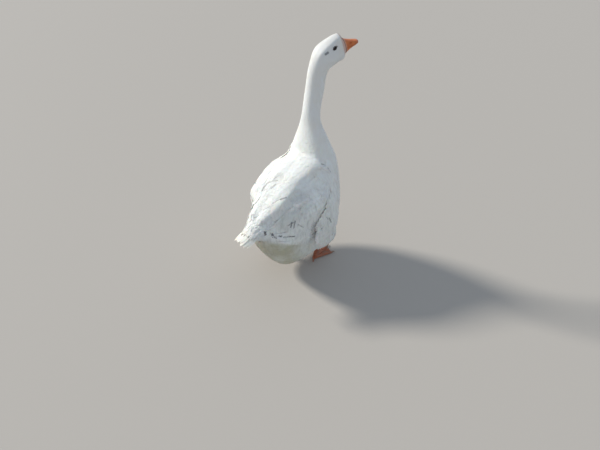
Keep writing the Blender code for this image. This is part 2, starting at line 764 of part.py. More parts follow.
def main():
    for obj in list(bpy.data.objects):
        bpy.data.objects.remove(obj)
    make_torso()
    make_neck()
    make_head()
    make_bill()
    make_tail()
    for name, side in (("left", 1), ("right", -1)):
        make_wing(name, side)
        make_leg(name, side)
        make_thigh(name, side)
    centre_on_floor()


main()
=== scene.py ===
"""Looks for a white domestic goose that stands in mid step: skin, feather coat, bill, eyes and feet.

Points are worked out as (left, forward, up) in metres and placed by to_scene(). The goose faces -Y.
"""

import json
import math

import bmesh
import bpy
import numpy as np
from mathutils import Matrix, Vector
from mathutils.bvhtree import BVHTree

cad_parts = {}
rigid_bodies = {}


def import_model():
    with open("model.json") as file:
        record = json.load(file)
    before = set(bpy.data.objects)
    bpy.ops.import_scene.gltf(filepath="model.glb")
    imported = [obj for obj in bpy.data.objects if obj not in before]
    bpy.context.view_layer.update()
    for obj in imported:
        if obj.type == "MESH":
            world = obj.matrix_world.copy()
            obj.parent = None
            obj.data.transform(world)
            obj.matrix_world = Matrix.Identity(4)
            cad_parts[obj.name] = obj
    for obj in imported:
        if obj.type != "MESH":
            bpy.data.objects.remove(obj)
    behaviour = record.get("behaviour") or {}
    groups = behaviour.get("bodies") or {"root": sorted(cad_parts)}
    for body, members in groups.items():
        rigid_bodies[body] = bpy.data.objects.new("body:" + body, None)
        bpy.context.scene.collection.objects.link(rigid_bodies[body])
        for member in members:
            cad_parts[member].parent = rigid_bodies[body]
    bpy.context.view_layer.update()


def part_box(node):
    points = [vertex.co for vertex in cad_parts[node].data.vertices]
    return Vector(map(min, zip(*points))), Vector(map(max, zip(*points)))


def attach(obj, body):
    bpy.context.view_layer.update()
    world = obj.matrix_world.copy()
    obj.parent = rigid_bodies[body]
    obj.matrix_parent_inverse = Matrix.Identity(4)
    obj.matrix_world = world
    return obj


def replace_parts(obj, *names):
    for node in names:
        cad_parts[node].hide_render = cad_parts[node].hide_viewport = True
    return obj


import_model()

# Stations of the body from tail tip to bill root: the back point and the belly point as
# (forward, up), half the width, how far down it is widest, and the squareness of the upper
# and lower halves. They are the solids' own.
STATIONS = {
    "tail_tip": (-0.24, 0.261, -0.24, 0.249, 0.02, 0.5, 2.0, 2.0),
    "tail_root": (-0.188, 0.292, -0.177, 0.236, 0.036, 0.5, 2.0, 2.0),
    "vent": (-0.156, 0.322, -0.142, 0.148, 0.0645, 0.54, 2.0, 2.2),
    "paunch": (-0.117, 0.354, -0.102, 0.077, 0.0895, 0.6, 2.1, 2.5),
    "loin": (-0.06, 0.394, -0.026, 0.056, 0.11, 0.58, 2.2, 2.7),
    "keel": (0.008, 0.427, 0.085, 0.088, 0.1315, 0.56, 2.2, 2.9),
    "shoulder": (0.052, 0.449, 0.167, 0.172, 0.109, 0.52, 2.2, 2.6),
    "breast": (0.062, 0.48, 0.192, 0.285, 0.0894, 0.5, 2.2, 2.1),
    "crop": (0.067, 0.512, 0.179, 0.392, 0.0735, 0.52, 2.0, 2.0),
    "neck_base": (0.071, 0.549, 0.149, 0.481, 0.049, 0.5, 2.0, 2.0),
    "neck_low": (0.0718, 0.595, 0.1235, 0.5605, 0.0293, 0.5, 2.0, 2.0),
    "neck_high": (0.085, 0.66, 0.1418, 0.648, 0.0268, 0.5, 2.0, 2.0),
    "nape": (0.0955, 0.716, 0.1525, 0.703, 0.027, 0.5, 2.0, 2.0),
    "occiput": (0.1103, 0.7585, 0.1707, 0.7171, 0.0295, 0.48, 2.0, 2.0),
    "crown": (0.1317, 0.7818, 0.188, 0.7261, 0.0308, 0.5, 2.1, 2.1),
    "brow": (0.1812, 0.805, 0.2025, 0.7283, 0.02, 0.52, 2.2, 2.1),
    "bill_root": (0.1972, 0.794, 0.212, 0.745, 0.0182, 0.5, 2.2, 2.2),
}
STATION_ROWS = np.array(list(STATIONS.values()))
LAST_STATION = len(STATIONS) - 1

# At each station: the coat's depth over the skin, and how far apart the rows of feathers lie
COAT_DEPTH = (0.006, 0.007, 0.008, 0.009, 0.009, 0.0085, 0.0085, 0.0085, 0.0075, 0.0062, 0.005,
              0.0042, 0.0036, 0.0026, 0.0018, 0.0012, 0.0004)
ROW_GAPS = (0.007, 0.0078, 0.009, 0.011, 0.011, 0.011, 0.0105, 0.0098, 0.0086, 0.007, 0.0054,
            0.0046, 0.004, 0.0031, 0.0024, 0.0018, 0.0012)

# The back's crest, where its lit top turns into the wing's steep face: stations, angles, height
CREST_AT = (1.8, 3.3, 4.7, 5.5, 6.4)
CREST_ANGLES = (20, 25, 19, 25, 41)
CREST_HIGH = 0.007
MANTLE_FRONT = 6.2
MANTLE_HIGH = 0.0055
BROW_HIGH = 0.0026
JAW_HIGH = 0.0042

HEAD_TURN = math.radians(-20)
TURN_FROM_Z = 0.56
TURN_TO_Z = 0.74
TURN_AXIS_FORWARD = 0.128

EYE_RADIUS = 0.0075
EYE_STATION = 14.46
EYE_ANGLE = math.radians(63.5)
EYE_SUNK = 0.0048
EYE_DEEPER = 0.0005
EYE_OPENING = (0.0086, 0.0042)

BILL_LENGTH = 0.0508
BILL_TILT = math.radians(7.6)
MOUTH_SHARE = 0.573
MOUTH_SAG = 0.0016
MOUTH_GAP = 0.00035
BILL_ROWS = np.array((
    (0.0, 0.018, 0.0282, 0.0205),
    (0.06, 0.0178, 0.0241, 0.018),
    (0.22, 0.017, 0.019, 0.0131),
    (0.48, 0.015, 0.0139, 0.0077),
    (0.72, 0.0138, 0.0088, 0.0055),
    (0.9, 0.0112, 0.005, 0.0037),
    (0.975, 0.0068, 0.0034, 0.0021),
    (1.0, 0.003, 0.002, 0.001),
))
NOSTRIL_SHARE = 0.4
TOOTH_GAP = 0.0017

WING_FRONT = 6.65
WING_REAR = 1.7
WING_TOP = np.array((54, 32, 18, 14, 22))
WING_BOTTOM = np.array((80, 96, 90, 84, 74))
WING_EDGE_THICK = 0.002
WING_RIDGE_THICK = 0.022
WING_RIDGE_AT = 0.38
WING_LOW_THICK = 0.1
WING_REAR_THICK = 0.03
WING_STEP = {"left": (0.62, 0.69), "right": (0.52, 0.82)}
WING_LOOSE = {"left": 0.0045, "right": 0.002}
WING_HANG = 0.0045
WING_FLAT = {"left": 0.0, "right": 0.01}
CREASE_ACROSS = (0.5, 0.6, 0.76, 0.98)
CREASE_ALONG = (0.335, 0.4, 0.485, 0.53)
GROOVE_DEEP = 0.006
FLANK_PROUD = 0.0048
WING_INSET = 0.0035
WING_DEPTH = 0.012

TAIL_ROOT = (-0.172, 0.292)
TAIL_LENGTH = 0.08
TAIL_ROOT_WIDTH = 0.024
TAIL_CLOSING = -0.18
TAIL_DROP = 0.035
TAIL_ARCH = 0.007

SIDES = {"left": 1, "right": -1}
HEELS = {"left": (0.06, -0.03), "right": (-0.064, 0.054)}
ANKLES = {"left": (0.078, -0.026, 0.08), "right": (-0.086, 0.04, 0.08)}
HIP_SIDE = 0.073
HIP_AHEAD = 0.03
HIP_UP = 0.245
THIGH_SHARES = np.array((0.05, 0.2, 0.42, 0.64, 0.85, 1.0))
THIGH_RADII = np.array((0.015, 0.04, 0.062, 0.058, 0.036, 0.01))
THIGH_DEPTH = 0.006
THIGH_GAP = 0.0095
SHANK_RADII = (0.006, 0.009016, 0.0062, 0.006, 0.0072)
TOE_ANGLES = {"inner": -27, "middle": -2, "outer": 24}
TOE_LENGTHS = {"inner": 0.064, "middle": 0.084, "outer": 0.078}
# Points along a toe, as its share and how high it lies, and the toe's radius at each
KNUCKLES = ((0, 0), (0.2, 0.0004), (0.4, 0), (0.56, 0.0005), (0.72, 0), (0.86, 0), (1, -0.0006))
TOE_RADII = (0.0062, 0.0051, 0.0055, 0.0046, 0.0052, 0.0042, 0.0036)
TOE_AXIS_UP = 0.0042
CLAW_LENGTH = 0.0105
CLAW_RADIUS = 0.0026
SCUTE_DEEP = 0.00045
SCUTE_GAP = 0.0031
FOOT_LOW = 0.0002
WEB_THICK = 0.0022
WEB_NOTCH = 0.86
HIND_TOE_LENGTH = 0.022
HIND_TOE_RADII = (0.0042, 0.0036, 0.0012)

# Camera: place before the model is centred, level direction of view, pitch and lens
CAMERA_PLACE = (-0.832, -0.879, 1.31)
CAMERA_AHEAD = (0.669, 0.743)
CAMERA_PITCH = math.radians(43.2)
CAMERA_LENS = 27.78

# The way to the key light, and half the floor's side
KEY_WAY = (0.8, 0.3, 0.55)
FLOOR_HALF = 30


def smooth(share):
    share = np.clip(share, 0.0, 1.0)
    return share * share * (3 - 2 * share)


def turns(count):
    return np.linspace(0, math.tau, count, endpoint=False)


def grid(first, second):
    return np.meshgrid(first, second, indexing="ij")


def unit(vectors):
    return vectors / np.linalg.norm(vectors, axis=-1, keepdims=True)


def dot(a, b):
    return (a * b).sum(-1)


def swing(first, second, angle):
    """The first way turned towards the second by angles."""
    return first * np.cos(angle)[..., None] + second * np.sin(angle)[..., None]


def spline(rows, at):
    """Catmull-Rom curve through rows of numbers, at places counted in rows."""
    rows = np.asarray(rows, float)
    padded = np.concatenate([[2 * rows[0] - rows[1]], rows, [2 * rows[-1] - rows[-2]]])
    at = np.asarray(at, float)
    start = np.clip(np.floor(at).astype(int), 0, len(rows) - 2)
    t = at - start
    if rows.ndim > 1:
        t = t[..., None]
    a, b, c, d = (padded[start + k] for k in range(4))
    square, cube = 2 * a - 5 * b + 4 * c - d, 3 * b - a - 3 * c + d
    return 0.5 * (2 * b + (c - a) * t + square * t * t + cube * t ** 3)


def turned(points):
    """Points after the head and upper neck have turned."""
    angle = HEAD_TURN * smooth((points[..., 2] - TURN_FROM_Z) / (TURN_TO_Z - TURN_FROM_Z))
    forward = points[..., 1] - TURN_AXIS_FORWARD
    side = points[..., 0] * np.cos(angle) + forward * np.sin(angle)
    forward = forward * np.cos(angle) - points[..., 0] * np.sin(angle)
    return np.stack([side, forward + TURN_AXIS_FORWARD, points[..., 2]], -1)


def trunk(at, angle):
    """The solids' surface at a station and an angle from the back's midline, left positive."""
    row = spline(STATION_ROWS, at)
    half_width, widest, upper, lower = (row[..., k] for k in range(4, 8))
    side, height = np.sin(angle), np.cos(angle)
    power = 2 / np.where(height >= 0, upper, lower)
    out = np.sign(side) * np.abs(side) ** power * half_width
    rise = np.sign(height) * np.abs(height) ** power
    share = widest - rise * np.where(height >= 0, widest, 1 - widest)
    middle = row[..., 0:2] + (row[..., 2:4] - row[..., 0:2]) * share[..., None]
    return turned(np.stack([out, middle[..., 0], middle[..., 1]], -1))


def crest(at, angle):
    """How far the plumage stands over the solids, at the back, the brow and the jaw."""
    turn = np.degrees(np.abs(angle))
    away = turn - np.interp(at, CREST_AT, CREST_ANGLES)
    ridge = CREST_HIGH * np.exp(-(away / np.where(away < 0, 16, 7)) ** 2)
    ridge = ridge * smooth((at - 1.2) / 0.8) * smooth((np.where(angle > 0, 5.9, 6.9) - at) / 0.8)
    front = MANTLE_FRONT + turn / 90
    limit = np.where(angle > 0, 24, 58)
    fold = MANTLE_HIGH * smooth((front - at) / 0.42) * smooth((at - 4.6) / 1.4)
    fold = fold * smooth((limit - turn) / 22)
    brow = BROW_HIGH * np.exp(-((turn - 40) / 14) ** 2)
    brow = brow * smooth((at - 12.2) / 1.2) * smooth((15.7 - at) / 0.8)
    jaw = JAW_HIGH * np.exp(-((turn - 125) / 26) ** 2 - ((at - 15.0) / 0.55) ** 2)
    return ridge + fold + brow + jaw


def on_trunk(at, angle, height):
    """A place at a height over the trunk's plumage."""
    at, angle, height = np.broadcast_arrays(at, angle, height)
    height = height + crest(at, angle)
    step = 0.02
    along = trunk(at + step, angle) - trunk(at - step, angle)
    around = trunk(at, angle + step) - trunk(at, angle - step)
    return trunk(at, angle) + unit(np.cross(around, along)) * height[..., None]


def wing_place(side, along, across):
    """The station and angle of a place on a wing."""
    edge = np.clip(along, 0.0, 1.0) * (len(WING_TOP) - 1)
    top = spline(WING_TOP, edge)
    bottom = spline(WING_BOTTOM, edge)
    at = WING_FRONT + (WING_REAR - WING_FRONT) * along
    return at, side * np.radians(top + (bottom - top) * across)


def wing_height(name, along, across):
    """How far the wing's outer face stands off the trunk."""
    rise = smooth(across / WING_RIDGE_AT)
    fall = 1 - (1 - WING_LOW_THICK) * smooth((across - WING_RIDGE_AT) / (1 - WING_RIDGE_AT))
    step = WING_STEP[name]
    rear = smooth((along - step[0]) / (step[1] - step[0]))
    thick = WING_RIDGE_THICK * smooth(along / 0.55)
    thick = thick + WING_LOOSE[name] * smooth((along - 0.4) / 0.3)
    edge = WING_EDGE_THICK * (0.15 + 0.85 * smooth(across / 0.15))
    hang = WING_HANG * smooth((across - 0.72) / 0.26) * smooth((along - 0.12) / 0.2)
    flat = WING_FLAT[name] * np.exp(-((across - 0.27) / 0.15) ** 2)
    flat = flat * smooth((along - 0.15) / 0.2) * (1 - rear)
    edge = edge * (1 - 0.8 * rear)
    behind = along - np.interp(across, CREASE_ACROSS, CREASE_ALONG)
    groove = GROOVE_DEEP * np.exp(-((behind - 0.02) / 0.05) ** 2) * smooth((across - 0.52) / 0.3)
    return edge + hang - flat - groove + thick * rise * fall * (1 - (1 - WING_REAR_THICK) * rear)


def wing_surface(name):
    """A wing's outer face, as a function of (along, across, height)."""
    def on_wing(along, across, height):
        along, across, height = np.broadcast_arrays(along, across, height)
        at, angle = wing_place(SIDES[name], along, across)
        return on_trunk(at, angle, wing_height(name, along, across) + height)
    return on_wing


def thigh_surface(name):
    """A thigh's surface, as a function of (share from ankle to hip, turn, height)."""
    ankle = np.array(ANKLES[name])
    hip = np.array((SIDES[name] * HIP_SIDE, ankle[1] + HIP_AHEAD, HIP_UP))
    ahead = unit(hip - ankle)
    side = unit(np.cross(ahead, (0, 0, 1)))
    up = np.cross(side, ahead)

    def on_thigh(share, turn, height):
        share, turn, height = np.broadcast_arrays(share, turn, height)
        place = np.interp(share, THIGH_SHARES, np.arange(len(THIGH_SHARES)))
        radius = np.maximum(spline(THIGH_RADII, place), 0.004) + height
        return ankle + (hip - ankle) * share[..., None] + swing(side, up, turn) * radius[..., None]
    return on_thigh


def tail_surface(reach, spread, height):
    """The fan of the tail feathers, as a function of the distance from the root and the spread."""
    reach, spread, height = np.broadcast_arrays(reach, spread, height)
    side = spread * TAIL_ROOT_WIDTH * (1 - TAIL_CLOSING * reach / TAIL_LENGTH)
    up = TAIL_ROOT[1] - TAIL_ARCH * spread ** 2 - TAIL_DROP * reach / TAIL_LENGTH + height
    return np.stack([side, TAIL_ROOT[0] - reach, up], -1)


def eye_frame(side):
    """The surface point over an eye, the way it looks, and the ways forward and round it."""
    at, angle = np.float64(EYE_STATION), np.float64(side * EYE_ANGLE)
    point = trunk(at, angle)
    out = unit(on_trunk(at, angle, 1.0) - point)
    along = unit(trunk(at + 0.1, angle) - point)
    along = unit(along - out * dot(along, out))
    return point, out, along, np.cross(out, along)


def eye_centre(side):
    point, out, _, _ = eye_frame(side)
    return point - out * EYE_SUNK


def find_shift():
    """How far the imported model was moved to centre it, from where an eye is."""
    low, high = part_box("left_eye")
    centre = eye_centre(1)
    return np.array(((low.x + high.x) / 2 - centre[0], (low.y + high.y) / 2 + centre[1], 0.0))


SHIFT = find_shift()


def to_scene(points):
    points = np.asarray(points, float)
    return np.stack([points[..., 0], -points[..., 1], points[..., 2]], -1) + SHIFT


def new_object(name, data):
    obj = bpy.data.objects.new(name, data)
    bpy.context.scene.collection.objects.link(obj)
    return obj


def mesh_object(name, points, faces, material, maps=None, sharp=50):
    """A mesh from (left, forward, up) points and triangles, with vertex maps as UV layers."""
    mesh = bpy.data.meshes.new(name)
    points = to_scene(points).reshape(-1, 3)
    faces = np.ascontiguousarray(faces, np.int32)
    mesh.vertices.add(len(points))
    mesh.vertices.foreach_set("co", points.astype(np.float32).ravel())
    mesh.loops.add(faces.size)
    mesh.loops.foreach_set("vertex_index", faces.ravel())
    mesh.polygons.add(len(faces))
    mesh.polygons.foreach_set("loop_start", np.arange(0, faces.size, 3, dtype=np.int32))
    mesh.update(calc_edges=True)
    mesh.validate()
    for layer, values in (maps or {}).items():
        uv = mesh.uv_layers.new(name=layer)
        uv.data.foreach_set("uv", values.reshape(-1, 2)[faces.ravel()].astype(np.float32).ravel())
    mesh.shade_smooth()
    mesh.set_sharp_from_angle(angle=math.radians(sharp))
    mesh.materials.append(material)
    return new_object(name, mesh)


def grid_faces(rows, columns):
    """Triangles over a grid of points whose columns close into rings."""
    i, j = grid(np.arange(rows - 1), np.arange(columns))
    a = i * columns + j
    b = i * columns + (j + 1) % columns
    c, d = a + columns, b + columns
    return np.concatenate([np.stack(corners, -1).reshape(-1, 3) for corners in ((a, b, d), (a, d, c))])


def tube_faces(rings, columns, flip=False):
    """Triangles of a closed loft of equal rings."""
    k = np.arange(1, columns - 1)
    fan = np.stack([0 * k, k, k + 1], -1)
    faces = np.concatenate([grid_faces(rings, columns), fan[:, ::-1], fan + (rings - 1) * columns])
    return faces[:, ::-1] if flip else faces


# Feather forms: shares of the length with a ring of points, points in a ring, where the tip
# begins and how blunt it is, rise from the covered part to the tip in metres, hollow across,
# and spreads of the lie, roll, bend and tip's edge
FORM_KEYS = ("rings", "columns", "tip_from", "blunt", "slope", "camber", "stray", "roll", "bend", "ragged")
BODY_RINGS = (0, 0.3, 0.52, 0.7, 0.84, 0.94, 1)
BROAD_RINGS = (0, 0.22, 0.42, 0.6, 0.75, 0.86, 0.93, 0.975, 1)
VANE_RINGS = (0, 0.2, 0.4, 0.58, 0.72, 0.84, 0.92, 0.97, 1)
FORM_ROWS = {
    "contour": (BODY_RINGS, 5, 0.55, 2.3, 0.0011, 0.06, 0.08, 0.025, 0.04, 0.028),
    "fine": ((0, 0.4, 0.68, 0.88, 1), 5, 0.5, 1.9, 0.0006, 0.05, 0.1, 0.025, 0.06, 0.04),
    "tiny": ((0, 0.3, 0.6, 0.84, 1), 3, 0.45, 1.7, 0.0003, 0.04, 0.1, 0.015, 0.06, 0.05),
    "loose": (BODY_RINGS, 5, 0.45, 1.7, 0.0018, 0.1, 0.22, 0.08, 0.12, 0.09),
    "broad": (BROAD_RINGS, 7, 0.66, 2.4, 0.0014, 0.05, 0.035, 0.02, 0.02, 0.012),
    "rectrix": (VANE_RINGS, 7, 0.66, 1.5, 0.0012, 0.06, 0.045, 0.06, 0.03, 0.022),
    "flight": (VANE_RINGS, 7, 0.74, 2.0, 0.0012, 0.05, 0.018, 0.02, 0.015, 0.01),
}
FORMS = {name: dict(zip(FORM_KEYS, row)) for name, row in FORM_ROWS.items()}
UNEVEN = 0.16

# Feathers of head, neck and body: their first and last stations, their length and half width
# in gaps between rows, and how proud the tips stand
ROOTS_BETWEEN = (15.97, 0.95)
LENGTH_GAPS = 3.5
HALF_WIDTHS = {"tiny": 1.3, "fine": 1.25, "contour": 1.08, "loose": 1.05}
COAT_PROUD = 0.0004
SHOWN_DEPTH = 0.0015

# The unwrap: half the side of a feather's patch, and where the strips of wings and thighs begin
PATCH_HALF = 0.0015
WING_STRIPS = {"left": 0.72, "right": 0.85}
THIGH_STRIPS = {"left": 0.5, "right": 0}

# How fast the wave of the barbs runs along a feather
BARBS = 420


def outline(share, tip_from, blunt):
    """A feather's half width along its length, as a share of its widest."""
    root = 0.35 + 0.65 * smooth(share / 0.5)
    tip = np.clip((share - tip_from) / (1 - tip_from), 0, 1)
    return root * np.maximum((1 - tip ** blunt) ** (1 / blunt), 0.08)


def surface_ways(surface, a, b):
    """The ways out of places of a surface, and along and across it."""
    step = 1e-3
    still = np.zeros(len(a))
    out = unit(surface(a, b, still + step) - surface(a, b, still))
    along = (surface(a + step, b, still) - surface(a - step, b, still)) / (2 * step)
    across = (surface(a, b + step, still) - surface(a, b - step, still)) / (2 * step)
    return out, along, across


def lay(surface, form, a, b, lie, length, half_width, low, high, seed, roll=0.0):
    """Points (feather, ring, column, 3) of feathers rooted at places a, b of a surface.

    lie is the way each points, in the surface's own two measures. low and high are the
    heights of the root and tip over the surface.
    """
    chance = np.random.default_rng(seed)
    count = len(a)
    out, along, across = surface_ways(surface, a, b)
    lie_a, lie_b = (np.broadcast_to(part, count)[:, None] for part in lie)
    ahead = unit(along * lie_a + across * lie_b)
    aside = np.cross(out, ahead)
    stray = chance.normal(0, form["stray"], count)
    ahead, aside = swing(ahead, aside, stray), swing(aside, -ahead, stray)
    share = np.array(form["rings"])[None, :, None]
    place = np.linspace(-1, 1, form["columns"])[None, None, :]
    edge = chance.normal(0, form["ragged"], (count, 1, form["columns"])) * smooth((share - 0.6) / 0.4)
    length, half_width, low, high = (
        np.broadcast_to(value, count)[:, None, None] for value in (length, half_width, low, high))
    reach = length * share * (1 + edge)
    wide = half_width * outline(share, form["tip_from"], form["blunt"]) * place
    bend = chance.normal(0, form["bend"], (count, 1, 1)) * length * share ** 2
    along, across, ahead, aside = (way[:, None, None, :] for way in (along, across, ahead, aside))
    move = ahead * reach[..., None] + aside * (wide + bend)[..., None]
    by_a, by_b = dot(move, along), dot(move, across)
    aa, ab, bb = dot(along, along), dot(along, across), dot(across, across)
    size = aa * bb - ab * ab
    tilt = (roll + chance.normal(0, form["roll"], (count, 1, 1))) * wide
    slope = form["slope"]
    lift = chance.normal(0, UNEVEN * slope, (count, 1, 1))
    height = low + (high - slope - low) * smooth(share / 0.5) + slope * share + lift * share ** 2
    height = height + tilt - form["camber"] * np.abs(wide * place)
    move_a, move_b = (by_a * bb - by_b * ab) / size, (by_b * aa - by_a * ab) / size
    return surface(a[:, None, None] + move_a, b[:, None, None] + move_b, height)


class Coat:
    """One piece of the coat, gathered from batches of feathers."""

    def __init__(self, name):
        self.name = name
        self.points, self.faces, self.bake, self.vane = [], [], [], []
        self.total = 0

    def add(self, form, points, u, v):
        """Adds feathers, each with a small patch where its root lies on the skin's unwrap."""
        count, rings, columns, _ = points.shape
        if not count:
            return
        start = self.total + np.arange(count)[:, None, None] * rings * columns
        along, across = grid(form["rings"], np.linspace(-1, 1, columns))
        wide = u[:, None, None] + across * PATCH_HALF
        tall = v[:, None, None] + (2 * along - 1) * PATCH_HALF
        vane = np.stack([(1 + across) / 2, along], -1)
        self.points.append(points.reshape(-1, 3))
        self.faces.append((tube_faces(rings, columns)[None] + start).reshape(-1, 3))
        self.bake.append(np.stack([wide, tall], -1).reshape(-1, 2))
        self.vane.append(np.tile(vane.reshape(-1, 2), (count, 1)))
        self.total += count * rings * columns

    def build(self, material):
        points, faces, bake, vane = map(np.concatenate, (self.points, self.faces, self.bake, self.vane))
        obj = mesh_object(self.name, points, faces, material, {"OFBake": bake, "Vane": vane}, 60)
        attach(obj, "root")
        return obj


def per_station(values, at):
    return np.interp(at, np.arange(len(values)), values)


def staggered(count, row, chance, spread):
    """Uneven places along a row, set half a place on in every second row."""
    return np.arange(count) + 0.5 * (row % 2) + chance.uniform(-spread, spread, count)


def trunk_rows(first, last, seed):
    """Roots of feathers in rows across the lie, from the bill back to the tail."""
    chance = np.random.default_rng(seed)
    stations = np.linspace(first, last, 700)
    angles = np.linspace(-math.pi, math.pi, 121)
    points = trunk(stations[:, None], angles[None, :])
    steps = np.linalg.norm(np.diff(points, axis=0), axis=-1)
    gaps = per_station(ROW_GAPS, (stations[1:] + stations[:-1]) / 2)[:, None]
    rows = np.concatenate([np.zeros((1, len(angles))), np.cumsum(steps / gaps, axis=0)])
    found = []
    for row in range(1, int(rows[-1].max())):
        line = np.array([np.interp(row, rows[:, k], stations, right=np.nan) for k in range(len(angles))])
        whole = np.nan_to_num(line, nan=last)
        pieces = np.linalg.norm(np.diff(trunk(whole, angles), axis=0), axis=-1)
        gap = per_station(ROW_GAPS, whole)
        run = np.concatenate([[0], np.cumsum(pieces / (gap[1:] + gap[:-1]) * 2)])
        count = max(int(run[-1]), 6)
        marks = staggered(count, row, chance, 0.22) * run[-1] / count % run[-1]
        angle = np.interp(marks, run, angles)
        at = np.interp(angle, angles, line)
        keep = ~np.isnan(at)
        found.append(np.stack([at[keep], angle[keep]], -1))
    roots = np.concatenate(found)
    roots[:, 0] += chance.uniform(-0.03, 0.03, len(roots))
    return roots


def unwrap_trunk(at, angle):
    """The place of a point of the trunk on the skin's unwrap."""
    return 0.02 + 0.66 * (angle / math.tau + 0.5), 0.02 + 0.96 * at / LAST_STATION


def wing_map(name, along, across):
    """The place of a point of a wing on the skin's unwrap."""
    return WING_STRIPS[name] + 0.12 * np.clip(across, 0, 1), np.clip(along, 0.01, 0.99)


def thigh_map(name, share, turn):
    """The place of a point of a thigh on the skin's unwrap."""
    return 0.72 + 0.26 * (turn / math.tau % 1), share * 0.45 + THIGH_STRIPS[name]


def skin_trunk():
    """The trunk's part of the skin, with fine sections on the head."""
    head = 12.0
    stations = np.concatenate([np.arange(0.45, head, 0.125), np.arange(head, LAST_STATION + 1e-6, 0.05)])
    at, angle = grid(stations, turns(96) - math.pi)
    points = on_trunk(at, angle, -per_station(COAT_DEPTH, at))
    return points, np.stack(unwrap_trunk(at, angle), -1), tube_faces(len(stations), 96, True)


def skin_wing(name):
    """A wing's part of the skin: two faces over the flank, joined at the rim."""
    along, across = grid(np.linspace(0.03, 0.97, 48), np.linspace(0.04, 0.96, 36))
    outer = wing_surface(name)(along, across, -WING_INSET)
    inner = on_trunk(*wing_place(SIDES[name], along, across), -WING_DEPTH)
    maps = np.stack(wing_map(name, along, across), -1)
    points = np.concatenate([outer, inner[:, ::-1]], axis=1)
    return points, np.concatenate([maps, maps[:, ::-1]], axis=1), tube_faces(48, 72, name == "right")


def skin_thigh(name):
    share, turn = grid(np.linspace(0.07, 0.98, 40), turns(48))
    points = thigh_surface(name)(share, turn, -THIGH_DEPTH * smooth((share - 0.04) / 0.1))
    return points, np.stack(thigh_map(name, share, turn), -1), tube_faces(40, 48)


def outward(obj):
    """Turns a closed mesh's faces outwards."""
    bm = bmesh.new()
    bm.from_mesh(obj.data)
    bmesh.ops.recalc_face_normals(bm, faces=bm.faces)
    bm.to_mesh(obj.data)
    bm.free()


def apply_modifiers(obj):
    graph = bpy.context.evaluated_depsgraph_get()
    mesh = bpy.data.meshes.new_from_object(obj.evaluated_get(graph))
    obj.modifiers.clear()
    obj.data = mesh


def join_solids(obj, others):
    """Fuses closed meshes into obj and removes them."""
    pieces = bpy.data.collections.new("pieces")
    bpy.context.scene.collection.children.link(pieces)
    for other in others:
        bpy.context.scene.collection.objects.unlink(other)
        pieces.objects.link(other)
    modifier = obj.modifiers.new("union", "BOOLEAN")
    modifier.operation = "UNION"
    modifier.solver = "MANIFOLD"
    modifier.operand_type = "COLLECTION"
    modifier.collection = pieces
    apply_modifiers(obj)
    for other in list(pieces.objects):
        bpy.data.objects.remove(other)
    bpy.data.collections.remove(pieces)


def make_skin(material):
    """The one skin under the coat, from tail to bill, with wings and thighs."""
    solids = []
    for name, (points, maps, faces) in {
        "skin": skin_trunk(),
        "left_wing_core": skin_wing("left"),
        "right_wing_core": skin_wing("right"),
        "left_thigh_core": skin_thigh("left"),
        "right_thigh_core": skin_thigh("right"),
    }.items():
        solids.append(mesh_object(name, points, faces, material, {"OFBake": maps}))
        outward(solids[-1])
    skin = solids[0]
    join_solids(skin, solids[1:])
    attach(skin, "root")
    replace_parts(skin, "torso", "lower_neck", "upper_neck", "head", "left_thigh", "right_thigh")
    return skin


def outside(tree, points):
    """Which feathers show outside the skin, from their middles and tips."""
    def shown(place):
        nearest, normal, _, _ = tree.find_nearest(Vector(place))
        return (Vector(place) - nearest).dot(normal) > -SHOWN_DEPTH

    spots = to_scene(points[:, [points.shape[1] // 2, -1], points.shape[2] // 2])
    return np.array([shown(middle) or shown(tip) for middle, tip in spots], bool)


def over_eye(points, side):
    """Which feathers would lie over an eye's opening."""
    point, _, along, aside = eye_frame(side)
    away = points - point
    share = (dot(away, along) / EYE_OPENING[0]) ** 2 + (dot(away, aside) / EYE_OPENING[1]) ** 2
    near = np.linalg.norm(away, axis=-1) < 2 * EYE_OPENING[0]
    return ((share < 1) & near).any(axis=(1, 2))


def trunk_coat(tree, material):
    """The feathers of head, neck and body."""
    at, angle = trunk_rows(*ROOTS_BETWEEN, 1).T
    lower = np.abs(angle) > math.radians(84)
    regions = {
        "head_feathers": (at > 12.9, "tiny"),
        "neck_feathers": ((at > 8.6) & (at <= 12.9), "fine"),
        "breast_feathers": ((at > 5.8) & (at <= 8.6) & lower, "contour"),
        "belly_feathers": ((at > 2.6) & (at <= 5.8) & lower, "contour"),
        "back_feathers": ((at > 2.6) & (at <= 8.6) & ~lower, "contour"),
        "rump_feathers": (at <= 2.6, "loose"),
    }
    chance = np.random.default_rng(2)
    for seed, (name, (chosen, form_name)) in enumerate(regions.items()):
        form = FORMS[form_name]
        a, b = at[chosen], angle[chosen]
        gap = per_station(ROW_GAPS, a)
        length = gap * LENGTH_GAPS * chance.uniform(0.9, 1.1, len(a))
        wide = gap * HALF_WIDTHS[form_name] * chance.uniform(0.9, 1.1, len(a))
        low = -per_station(COAT_DEPTH, a)
        points = lay(on_trunk, form, a, b, (-1, 0), length, wide, low, COAT_PROUD, 10 + seed)
        keep = outside(tree, points) & ~over_eye(points, 1) & ~over_eye(points, -1)
        coat = Coat(name)
        coat.add(form, points[keep], *unwrap_trunk(a[keep], b[keep]))
        coat.build(material)


